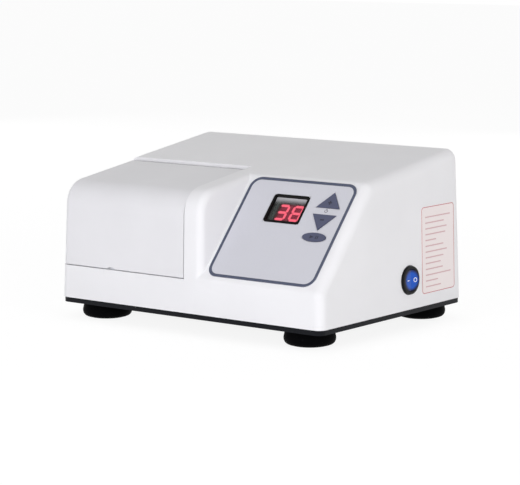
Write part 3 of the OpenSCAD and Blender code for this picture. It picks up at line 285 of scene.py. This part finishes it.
def circuitBoard(name, color):
    skin = Finish(bpy.data.materials.new(name))
    at = skin.place()
    cells = skin.add("TexVoronoi", {"distance": "MANHATTAN"}, {"Vector": at, "Scale": 260.0})
    run = skin.noise(skin.stretched(at, (1.0, 0.2, 0.2)), scale=420.0, detail=1.0)
    track = run.step(0.52, 0.56)
    pad = 1 - cells.step(0.12, 0.16)
    paint = skin.mixed(track, color, shade(color, 1.6))
    paint = skin.mixed(pad, paint, padTin)
    return skin.done(skin.surface({
        "Base Color": paint, "Metallic": pad * 0.8, "Roughness": 0.4 - track * 0.08,
        "Normal": skin.bumped((track + pad).capped(), depth=0.04, strength=0.5)}))


# Printed film: ink with a pearl fleck under a clear hard coat
def printedFilm(name, color, fleck=0.05, matt=0.34, coat=0.25):
    skin = Finish(bpy.data.materials.new(name))
    at = skin.place()
    pearl = skin.noise(at, scale=3800.0, detail=1.0)
    sweep = skin.noise(skin.stretched(at, (1.0, 0.5, 0.5)), scale=9.0, detail=2.0)
    paint = skin.mixed(pearl.step(0.35, 0.65), shade(color, 1 - fleck), shade(color, 1 + fleck))
    paint = skin.mixed(sweep.step(0.35, 0.65) * 0.5, paint, shade(color, 0.96))
    return skin.done(skin.surface({
        "Base Color": paint, "Roughness": pearl * 0.05 + matt, "Coat Weight": coat,
        "Coat Roughness": 0.18, "Normal": skin.bumped(pearl, depth=0.006, strength=0.4)}))


# Clear pane: part of the light passes straight through
def pane(name, color, through, matt):
    skin = Finish(bpy.data.materials.new(name))
    smear = skin.noise(skin.place(), scale=90.0, detail=3.0, rough=0.6)
    return skin.done(skin.surface({
        "Base Color": color, "Roughness": smear * 0.05 + matt, "Alpha": 1 - through,
        "Specular IOR Level": 0.5}))


# Smoked display pane: a painted grey reflection towards its upper edge, smoky left of the digits and dark
# over them
display = {
    "through": 0.66, "reflectionShare": 0.8,                 # the light let through, and the painted reflection's share of it
    "reflectionBand": 9.0, "reflectionRamp": 1.6,                     # the painted reflection's band: its height in mm and its power
    "digitsFrom": 33.6, "soft": 2.0,              # where the dark part starts and how softly, in mm
    # edge is the colour of the painted reflection along the upper edge
    "smoke": (0.105, 0.115, 0.11), "dark": (0.012, 0.01, 0.011), "edge": (0.84, 0.84, 0.87),
}


def smokedPane(name, look):
    skin = Finish(bpy.data.materials.new(name))
    at = skin.place()
    x, y, z = skin.axes(at)
    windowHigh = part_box("display_window")[1]
    upper = upSlope(windowHigh.y, windowHigh.z)
    left = panelCorner.x + look["digitsFrom"] * mm
    # Painted reflection: grey rising over the top band of the window, towards its upper edge
    paintedReflection = upSlope(y, z).step(upper - look["reflectionBand"] * mm, upper) ** look["reflectionRamp"]
    smoke = skin.mixed(x.step(left, left + look["soft"] * mm), look["smoke"], look["dark"])
    smear = skin.noise(at, scale=120.0, detail=3.0, rough=0.6)
    return skin.done(skin.surface({
        "Base Color": skin.mixed(paintedReflection, smoke, look["edge"]), "Roughness": smear * 0.06 + 0.08,
        "Alpha": paintedReflection * (look["through"] * look["reflectionShare"]) + (1 - look["through"]),
        "Specular IOR Level": 0.4}))


# Tinted rocker: a bright lens with painted shade that darkens it towards its round rim
# The dark colour at the rim is painted shade; rimFrom and radius are in millimetres
lens = {"color": (0.004, 0.095, 0.56), "rimShade": (0.003, 0.008, 0.06), "rimFrom": 5.2, "radius": 8.1}
joints = {joint["name"]: joint for joint in frame["record"]["behaviour"]["joints"]}
rockerMid = Vector(joints["switch_rock"]["pos_m"])


def tintedLens(name, look):
    skin = Finish(bpy.data.materials.new(name))
    at = skin.place()
    y, z = skin.axes(at)[1:]
    out = ((y - rockerMid.y) ** 2.0 + (z - rockerMid.z) ** 2.0) ** 0.5
    # Painted shade: darker from rimFrom out to the lens's rim
    rim = out.step(look["rimFrom"] * mm, look["radius"] * mm)
    cloud = skin.noise(at, scale=240.0, detail=3.0, rough=0.6)
    paint = skin.mixed(cloud.step(0.3, 0.7), shade(look["color"], 0.9), look["color"])
    return skin.done(skin.surface({
        "Base Color": skin.mixed(rim, paint, look["rimShade"]), "Roughness": cloud * 0.06 + 0.14,
        "Coat Weight": 0.1, "Coat Roughness": 0.12, "Specular IOR Level": 0.25,
        "Normal": skin.bumped(cloud, depth=0.004, strength=0.6)}))


# Ink: a plain printed colour with the tooth of the film under it
def ink(name, color, matt=0.4):
    skin = Finish(bpy.data.materials.new(name))
    tooth = skin.noise(skin.place(), scale=5200.0, detail=2.0, rough=0.6)
    paint = skin.mixed(tooth.step(0.3, 0.7), shade(color, 0.93), shade(color, 1.05))
    return skin.done(skin.surface({"Base Color": paint, "Roughness": tooth * 0.08 + matt}))


# Lit segment: an even glow with a faint grain
def litSegment(name, color, strength):
    skin = Finish(bpy.data.materials.new(name))
    cells = skin.noise(skin.place(), scale=1500.0, detail=2.0, rough=0.6)
    glowing = skin.mixed(cells.step(0.25, 0.75), shade(color, 0.85), color)
    return skin.done(skin.surface({
        "Base Color": shade(color, 0.3), "Roughness": 0.5, "Emission Color": glowing,
        "Emission Strength": strength}))


# One finish for each material slot. A higher matt is a rougher surface. A plastic's grain and depth,
# a core's sheet and a tape's turn are in millimetres.
finishes = {
    "white_shell": mouldedPlastic("whiteShell", (0.885, 0.879, 0.896), matt=0.36, shine=0.18),
    # The lid's white is a darker copy of the shell's white: painted shade that keeps the lid dimmer under
    # the same lamps
    "lid_shell": mouldedPlastic("lidShellShaded", (0.825, 0.818, 0.838), matt=0.36, shine=0.18),
    "chamber_plastic": mouldedPlastic(
        "chamberPlastic", (0.70, 0.71, 0.74), matt=0.42, grain=0.6, depth=0.03),
    "black_base": powderCoat("blackBase", (0.0035, 0.004, 0.006)),
    "foot_rubber": mouldedRubber("footRubber", (0.002, 0.002, 0.0024), bloom=0.06, shine=0.02),
    "mount_rubber": mouldedRubber("mountRubber", (0.025, 0.025, 0.027), bloom=0.0, shine=0.2),
    "zinc_screw": drawnMetal(
        "zincScrew", (0.50, 0.50, 0.49), along="z", matt=0.3, grain=1800.0, spots=0.3),
    "steel_part": drawnMetal("steelPart", (0.40, 0.41, 0.43), along="x", matt=0.32),
    "shaft_steel": drawnMetal("shaftSteel", (0.74, 0.75, 0.77), along="y", matt=0.16, grain=3200.0),
    "cast_part": castAlloy("castPart", (0.60, 0.61, 0.63)),
    "brass_part": drawnMetal(
        "brassPart", (0.74, 0.58, 0.28), along="y", matt=0.24, grain=2400.0, spots=0.2),
    "black_plastic": mouldedPlastic(
        "blackPlastic", (0.022, 0.022, 0.024), matt=0.42, grain=0.5, depth=0.03, mottle=0.15),
    "switch_black": mouldedPlastic(
        "switchBlack", (0.004, 0.004, 0.005), matt=0.3, grain=0.8, depth=0.008, mottle=0.1, shine=0.14),
    "switch_blue": tintedLens("switchBlue", lens),
    "label_film": printedFilm("labelFilm", (0.655, 0.655, 0.71)),
    "key_film": printedFilm("keyFilm", (0.058, 0.066, 0.130), fleck=0.08, matt=0.36, coat=0.1),
    "display_black": mouldedPlastic(
        "displayBlack", (0.003, 0.003, 0.003), matt=0.26, grain=0.9, depth=0.005, mottle=0.1, shine=0.08),
    "smoked_pane": smokedPane("smokedPane", display),
    "digit_module": mouldedPlastic(
        "digitModule", (0.02, 0.012, 0.013), matt=0.5, grain=0.6, depth=0.01, mottle=0.1),
    "board_green": circuitBoard("boardGreen", (0.02, 0.12, 0.05)),
    "core_iron": laminatedCore("coreIron", (0.24, 0.24, 0.26), sheet=0.5),
    "coil_tape": woundTape("coilTape", (0.62, 0.42, 0.10), turn=6.0),
    "capacitor_blue": mouldedPlastic(
        "capacitorBlue", (0.03, 0.05, 0.25), matt=0.25, grain=0.9, depth=0.004, mottle=0.06,
        coat=0.4, shine=0.5),
    "wire_sleeve": mouldedPlastic(
        "wireSleeve", (0.35, 0.03, 0.02), matt=0.4, grain=0.7, depth=0.01, mottle=0.08),
    "fuse_glass": pane("fuseGlass", (0.80, 0.84, 0.86), through=0.55, matt=0.04),
    "paper_label": printedFilm("paperLabel", (0.93, 0.845, 0.835), fleck=0.015, matt=0.42, coat=0.05),
}
slotOf = {row["node"]: row["material_slot"] for row in frame["record"]["subparts"]}
print("finishes:", len(finishes))

# Smooth shading that keeps the sharp edges: welds split corners, then smooths edges under an angle
smoothing = {"weld": 0.001, "angle": 28}


def smoothByAngle():
    group = bpy.data.node_groups.new("smoothByAngle", "GeometryNodeTree")
    group.interface.new_socket("Geometry", in_out="INPUT", socket_type="NodeSocketGeometry")
    group.interface.new_socket("Geometry", in_out="OUTPUT", socket_type="NodeSocketGeometry")
    start = group.nodes.new("NodeGroupInput")
    weld = group.nodes.new("GeometryNodeMergeByDistance")
    weld.inputs["Distance"].default_value = smoothing["weld"] * mm
    bend = group.nodes.new("GeometryNodeInputMeshEdgeAngle")
    small = group.nodes.new("FunctionNodeCompare")
    small.operation = "LESS_EQUAL"
    small.inputs[1].default_value = math.radians(smoothing["angle"])
    faces = group.nodes.new("GeometryNodeSetShadeSmooth")
    faces.domain = "FACE"
    edges = group.nodes.new("GeometryNodeSetShadeSmooth")
    edges.domain = "EDGE"
    end = group.nodes.new("NodeGroupOutput")
    join = group.links.new
    join(start.outputs[0], weld.inputs["Geometry"])
    join(weld.outputs[0], faces.inputs["Geometry"])
    join(faces.outputs[0], edges.inputs["Geometry"])
    join(bend.outputs[0], small.inputs[0])
    join(small.outputs[0], edges.inputs["Shade Smooth"])
    join(edges.outputs[0], end.inputs[0])
    return group


smoothGroup = smoothByAngle()


def smooth(thing):
    modifier = thing.modifiers.new("smooth", "NODES")
    modifier.node_group = smoothGroup


def dress(thing, material):
    thing.data.materials.clear()
    thing.data.materials.append(material)


for name, thing in frame["nodes"].items():
    dress(thing, finishes[slotOf[name]])
    smooth(thing)
print("nodes dressed:", len(frame["nodes"]))

# Flat outlines in millimetres, each a list of (x, y)
cornerSteps = 8
circleSteps = 24


def arc(mid, radius, start, end, steps):
    turns = [math.radians(start + (end - start) * i / steps) for i in range(steps + 1)]
    return [(mid[0] + radius * math.cos(turn), mid[1] + radius * math.sin(turn)) for turn in turns]


def roundedBox(mid, size, radius, steps=cornerSteps):
    halfW, halfH = size[0] / 2 - radius, size[1] / 2 - radius
    points = []
    for quarter, (signX, signY) in enumerate([(1, 1), (-1, 1), (-1, -1), (1, -1)]):
        center = (mid[0] + signX * halfW, mid[1] + signY * halfH)
        points += arc(center, radius, 90 * quarter, 90 * quarter + 90, steps)
    return points


def boxLine(mid, size, radius, line):             # a line along the inside of a rounded box
    inner = (size[0] - 2 * line, size[1] - 2 * line)
    return [roundedBox(mid, size, radius), roundedBox(mid, inner, radius - line)]


def ring(mid, outer, inner):
    return [arc(mid, radius, 0, 360, circleSteps)[:-1] for radius in (outer, inner)]


def bar(mid, size):
    halfW, halfH = size[0] / 2, size[1] / 2
    corners = [(-1, -1), (1, -1), (1, 1), (-1, 1)]
    return [(mid[0] + signX * halfW, mid[1] + signY * halfH) for signX, signY in corners]


# Points given as lengths along and to the left of a direction, laid out from a start
def laidOut(start, ahead, points):
    return [(start[0] + along * ahead[0] - left * ahead[1], start[1] + along * ahead[1] + left * ahead[0])
            for along, left in points]


def plus(mid, long, stroke):
    reach, half = long / 2, stroke / 2
    points = []
    for quarter in range(4):
        turn = math.radians(90 * quarter)
        arm = [(reach, -half), (reach, half), (half, half)]
        points += laidOut(mid, (math.cos(turn), math.sin(turn)), arm)
    return points


# A thin solid from outlines, nested ones being holes, placed by a matrix in metres
def inlay(name, loops, thick, place, body, material):
    curve = bpy.data.curves.new(name, "CURVE")
    curve.dimensions = "2D"
    curve.fill_mode = "BOTH"
    curve.extrude = thick / 2 * mm
    for loop in loops:
        spline = curve.splines.new("POLY")
        spline.points.add(len(loop) - 1)
        for point, (x, y) in zip(spline.points, loop):
            point.co = (x * mm, y * mm, 0.0, 1.0)
        spline.use_cyclic_u = True
    carrier = bpy.data.objects.new(name + "Curve", curve)
    bpy.context.scene.collection.objects.link(carrier)
    bpy.context.view_layer.update()
    filled = carrier.evaluated_get(bpy.context.evaluated_depsgraph_get())
    mesh = bpy.data.meshes.new_from_object(filled)
    bpy.data.objects.remove(carrier)
    mesh.transform(place @ raised(thick / 2))
    mesh.name = name
    thing = bpy.data.objects.new(name, mesh)
    bpy.context.scene.collection.objects.link(thing)
    dress(thing, material)
    smooth(thing)
    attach(thing, body)


# Slate line round the label
border = {"size": (99.9, 92.4), "mid": (49.9, 46.2), "line": 2.5, "radius": 9.45, "thick": 0.04,
          "color": (0.062, 0.074, 0.125)}
slateInk = ink("slateInk", border["color"])
inlay("label_border", boxLine(border["mid"], border["size"], border["radius"], border["line"]),
      border["thick"], onPanel(panel["labelThick"]), "case", slateInk)

# Marks on the keys: plus, minus, and a triangle with two pause bars
keyMarks = {
    "x": 81.0, "up": 74.2, "down": 58.6, "start": 43.0,     # the keys' middles on the panel
    "long": 3.6, "stroke": 1.2,                             # plus and minus
    "startSize": (7.6, 2.8), "pause": 0.9,                  # the start mark and the width of its bars
    "pauseAt": (0.5, 2.3),                                  # in bar widths from the mark's right end
    "thick": 0.03, "lift": 1.0, "color": (0.008, 0.009, 0.03),
}
markInk = ink("markInk", keyMarks["color"])


def startMark(mid):
    halfW, halfH = keyMarks["startSize"][0] / 2, keyMarks["startSize"][1] / 2
    left, right = mid[0] - halfW, mid[0] + halfW
    pause = keyMarks["pause"]
    loops = [[(left, mid[1] - halfH), mid, (left, mid[1] + halfH)]]
    for place in keyMarks["pauseAt"]:
        loops.append(bar((right - place * pause, mid[1]), (pause, 2 * halfH)))
    return loops


def markKey(name, loops, body):
    inlay(name, loops, keyMarks["thick"], onPanel(keyMarks["lift"]), body, markInk)


long, stroke = keyMarks["long"], keyMarks["stroke"]
markKey("up_mark", [plus((keyMarks["x"], keyMarks["up"]), long, stroke)], "upper_key")
markKey("down_mark", [bar((keyMarks["x"], keyMarks["down"]), (long, stroke))], "lower_key")
markKey("start_mark", startMark((keyMarks["x"], keyMarks["start"])), "start_key")

# Small clock between the up and down keys: a ring and its hand
clock = {"mid": (80.6, 66.9), "outer": 1.5, "inner": 1.15, "hand": (0.3, 1.0), "handOff": (0.15, 0.4)}
handMid = (clock["mid"][0] + clock["handOff"][0], clock["mid"][1] + clock["handOff"][1])
inlay("clock_mark", ring(clock["mid"], clock["outer"], clock["inner"]) + [bar(handMid, clock["hand"])],
      keyMarks["thick"], onPanel(panel["labelThick"]), "case", markInk)
print("panel print done")

# Two seven-segment digits on the display module. Each segment's ends are in half sizes of a digit.
digits = {
    "shown": "38", "mid": (44.3, 65.0), "pitch": 13.4, "moduleLift": -4.5, "thick": 0.08,
    "size": (8.2, 12.3), "stroke": 2.1, "slant": 3.0,
    "cut": 0.18, "shoulder": 0.6,                 # the gap at a segment's points, its share at the shoulders
    "color": (1.0, 0.125, 0.19), "strength": 2.4, "off": (0.16, 0.012, 0.018), "offMatt": 0.5,
}
segmentsOf = {"3": "abgcd", "8": "abcdefg"}
segmentEnds = {
    "a": ((-1, 1), (1, 1)), "b": ((1, 0), (1, 1)), "c": ((1, -1), (1, 0)), "d": ((-1, -1), (1, -1)),
    "e": ((-1, -1), (-1, 0)), "f": ((-1, 0), (-1, 1)), "g": ((-1, 0), (1, 0)),
}
litRed = litSegment("litRed", digits["color"], digits["strength"])
restRed = ink("restRed", digits["off"], digits["offMatt"])

# Red filter behind the digits, with a painted glow round them that fades out towards its rim
glow = {"size": (25.0, 18.0), "radius": 1.6, "fade": 4.0, "color": (0.36, 0.008, 0.045), "strength": 1.25,
        "unlit": (0.03, 0.012, 0.013)}


def redGlow():
    skin = Finish(bpy.data.materials.new("filterPaintedGlow"))
    x, y, z = skin.axes(skin.place())
    middle = onPanel(digits["moduleLift"]) @ Vector((digits["mid"][0] * mm, digits["mid"][1] * mm, 0))
    aside = (x - middle.x).calc("ABSOLUTE")
    along = (upSlope(y, z) - upSlope(middle.y, middle.z)).calc("ABSOLUTE")
    halfW, halfH, fade = glow["size"][0] / 2 * mm, glow["size"][1] / 2 * mm, glow["fade"] * mm
    # Painted glow: full over the digits, fading out over the last fade millimetres to the filter's rim
    lit = (1 - aside.step(halfW - fade, halfW)) * (1 - along.step(halfH - fade, halfH))
    return skin.done(skin.surface({
        "Base Color": glow["unlit"], "Roughness": 0.5,
        "Emission Color": skin.mixed(lit, (0.0, 0.0, 0.0), glow["color"]),
        "Emission Strength": glow["strength"]}))


inlay("digit_filter", [roundedBox(digits["mid"], glow["size"], glow["radius"])],
      digits["thick"], onPanel(digits["moduleLift"]), "case", redGlow())


def segment(letter, center):
    halfW, halfH = digits["size"][0] / 2, digits["size"][1] / 2
    (x0, y0), (x1, y1) = [(x * halfW, y * halfH) for x, y in segmentEnds[letter]]
    long = math.hypot(x1 - x0, y1 - y0)
    half, cut = digits["stroke"] / 2, digits["cut"]
    shoulder = half + cut * digits["shoulder"]
    shape = [(cut, 0), (shoulder, half), (long - shoulder, half), (long - cut, 0),
             (long - shoulder, -half), (shoulder, -half)]
    points = laidOut((x0, y0), ((x1 - x0) / long, (y1 - y0) / long), shape)
    lean = math.tan(math.radians(digits["slant"]))
    return [(center[0] + x + y * lean, center[1] + y) for x, y in points]


onModule = onPanel(digits["moduleLift"] + digits["thick"])
for side, place, figure in zip(("left", "right"), (-0.5, 0.5), digits["shown"]):
    center = (digits["mid"][0] + place * digits["pitch"], digits["mid"][1])
    lit = [segment(letter, center) for letter in segmentsOf[figure]]
    dark = [segment(letter, center) for letter in segmentEnds if letter not in segmentsOf[figure]]
    inlay("digit_" + side, lit, digits["thick"], onModule, "case", litRed)
    if dark:
        inlay("unlit_" + side, dark, digits["thick"], onModule, "case", restRed)
print("digits done")

# Marks on the rocker's two faces: a ring at the rear and a bar at the front
rockerMarks = {
    "tilt": 7.0, "saddle": 2.8, "slope": 7.92,    # the rocker's rest, its middle's height, its faces' slope
    "ring": 1.8, "ringAt": 4.4, "bar": 3.0, "barAt": 3.3, "stroke": 0.6,
    "thick": 0.03, "lift": 0.005, "color": (0.80, 0.84, 0.95),
}


def onRocker(side):                               # 1 for the front face, -1 for the rear one
    turn = Matrix.Rotation(math.radians(-rockerMarks["tilt"]), 4, "X")
    lean = Matrix.Rotation(math.radians(side * rockerMarks["slope"]), 4, "X")
    return onWall(rockerMid) @ turn @ raised(rockerMarks["saddle"]) @ lean @ raised(rockerMarks["lift"])


whiteInk = ink("whiteInk", rockerMarks["color"])
stroke = rockerMarks["stroke"]
inlay("off_mark", ring((0, -rockerMarks["ringAt"]), rockerMarks["ring"], rockerMarks["ring"] - stroke),
      rockerMarks["thick"], onRocker(-1), "rocker", whiteInk)
inlay("on_mark", [bar((0, rockerMarks["barAt"]), (stroke, rockerMarks["bar"]))],
      rockerMarks["thick"], onRocker(1), "rocker", whiteInk)

# Rating label: a red rounded outline and blank ruled lines
rating = {
    "thick": 0.3, "print": 0.03,                  # the card and the ink on it
    "inset": 0.25, "line": 0.5, "radius": 2.8, "color": (0.50, 0.10, 0.12),
    "rule": 0.9, "top": 7.5, "pitch": 4.5, "margin": 4.5, "faint": (0.68, 0.44, 0.46),
    "lengths": [35, 26, 30, 28, 15, 25, 30, 25, 21, 24, 35, 17, 21],   # of the ruled lines, from the top
}
redInk = ink("redInk", rating["color"])
faintInk = ink("faintInk", rating["faint"])
cardLow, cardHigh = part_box("rating_label")
cardSize = ((cardHigh.z - cardLow.z) / math.cos(draft) / mm, (cardHigh.y - cardLow.y) / mm)
onCard = onWall((cardLow + cardHigh) / 2) @ raised(rating["thick"] / 2)
lineSize = (cardSize[0] - 2 * rating["inset"], cardSize[1] - 2 * rating["inset"])
inlay("rating_border", boxLine((0, 0), lineSize, rating["radius"], rating["line"]),
      rating["print"], onCard, "case", redInk)
insideTop = lineSize[0] / 2 - rating["line"]
insideFront = lineSize[1] / 2 - rating["line"]
rules = []
for row, length in enumerate(rating["lengths"]):
    up = insideTop - rating["top"] - row * rating["pitch"]
    rules.append(bar((up, insideFront - rating["margin"] - length / 2), (rating["rule"], length)))
inlay("rating_rules", rules, rating["print"], onCard, "case", faintInk)
print("rating label done")

# Plated blades in the mains socket: x across, y down the rear wall, z outwards
socket = {
    "head": 3.4,                                  # how far the inlet stands out of the wall
    "blade": (2.16, 4.16), "round": 0.3, "steps": 3,
    "long": 12.0, "from": -17.4,                  # the blades' length, and where they start in the inlet
    "pitch": 7.0, "outer": -3.0, "earth": -7.0,   # the blades' places across and down
}
inletLow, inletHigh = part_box("mains_inlet")
inletMid = (inletLow + inletHigh) / 2
inletSkin = Vector((inletMid.x, inletHigh.y - socket["head"] * mm, inletMid.z))
onRear = Matrix.Translation(inletSkin) @ Matrix.Rotation(draft - math.pi / 2, 4, "X")
blades = []
for place in (-1, 0, 1):
    center = (place * socket["pitch"], socket["outer"] if place else socket["earth"])
    blades.append(roundedBox(center, socket["blade"], socket["round"], socket["steps"]))
inlay("socket_blades", blades, socket["long"], onRear @ raised(socket["from"]),
      "case", finishes["brass_part"])
print("socket done")

# Camera at the photograph's place
view = {"at": (1.0456, -1.3537, 0.3070), "yaw": 37.71, "pitch": 8.24, "roll": 0.11, "lens": 151.35,
        "sensor": 36.0, "clip": 20.0}


def makeCamera():
    yaw, pitch, roll = (math.radians(view[key]) for key in ("yaw", "pitch", "roll"))
    ahead = Vector((-math.sin(yaw) * math.cos(pitch), math.cos(yaw) * math.cos(pitch), -math.sin(pitch)))
    right = Vector((math.cos(yaw), math.sin(yaw), 0.0))
    down = ahead.cross(right)
    across = right * math.cos(roll) + down * math.sin(roll)
    under = down * math.cos(roll) - right * math.sin(roll)
    data = bpy.data.cameras.new("camera")
    data.lens = view["lens"]
    data.sensor_width = view["sensor"]
    data.clip_end = view["clip"]
    camera = bpy.data.objects.new("camera", data)
    turn = Matrix((across, -under, -ahead)).transposed().to_4x4()
    camera.matrix_world = Matrix.Translation(view["at"]) @ turn
    bpy.context.scene.collection.objects.link(camera)
    bpy.context.scene.camera = camera


makeCamera()

# Plain pale floor and white surroundings, seen as white by the camera, by gloss and through panes
studio = {"floor": 12.0, "floorColor": (0.9, 0.9, 0.9), "floorMatt": 0.9, "keptShadow": 0.2,
          "whitening": 1.10, "ambient": 0.43}


def whiteSeen(skin):                              # 1 for rays from the camera, off gloss and through panes
    rays = skin.add("LightPath", {}, {}, None)
    camera, gloss, through = [Val(skin, rays.outputs["Is " + kind + " Ray"])
                              for kind in ("Camera", "Glossy", "Transmission")]
    return (camera + gloss + through).capped()


def makeFloor():
    skin = Finish(bpy.data.materials.new("paleFloor"))
    matt = skin.surface({"Base Color": studio["floorColor"], "Roughness": studio["floorMatt"]})
    pale = skin.add("Emission", {}, {"Color": white, "Strength": studio["whitening"]})
    share = whiteSeen(skin) * (1 - studio["keptShadow"])
    bpy.ops.mesh.primitive_plane_add(size=studio["floor"], location=(0, 0, 0))
    floor = bpy.context.object
    floor.name = "floor"
    dress(floor, skin.done(skin.add("MixShader", {}, {0: share, 1: matt, 2: pale})))


def makeWorld():
    sky = Finish(bpy.data.worlds.new("surroundings"))
    strength = whiteSeen(sky) * (1 - studio["ambient"]) + studio["ambient"]
    light = sky.add("Background", {}, {"Color": white, "Strength": strength})
    bpy.context.scene.world = sky.done(light, "OutputWorld")


makeFloor()
makeWorld()

lampAim = Vector((0, 0, 0.06))
lamps = {
    "keyLamp": {"at": (0.10, -1.30, 0.20), "size": 0.7, "power": 8.7, "color": (0.955, 0.96, 1.0)},
    "sideLamp": {"at": (1.40, -0.36, 0.26), "size": 0.7, "power": 7.4, "color": (1.0, 0.995, 1.0)},
    "fillLamp": {"at": (-1.4, 0.6, 0.7), "size": 1.2, "power": 3.0, "color": (1.0, 0.99, 0.985)},
    "rearLamp": {"at": (-0.1, 1.5, 0.22), "size": 0.8, "power": 5.5, "color": white},
}
for name, lamp in lamps.items():
    data = bpy.data.lights.new(name, "AREA")
    data.shape = "SQUARE"
    data.size = lamp["size"]
    data.energy = lamp["power"]
    data.color = lamp["color"]
    thing = bpy.data.objects.new(name, data)
    thing.location = lamp["at"]
    ray = lampAim - Vector(lamp["at"])
    thing.rotation_euler = ray.to_track_quat("-Z", "Y").to_euler()
    thing.visible_glossy = False                  # gloss shows the white surroundings, not the lamp
    bpy.context.scene.collection.objects.link(thing)
bpy.context.scene.view_settings.view_transform = "Standard"
print("studio done")
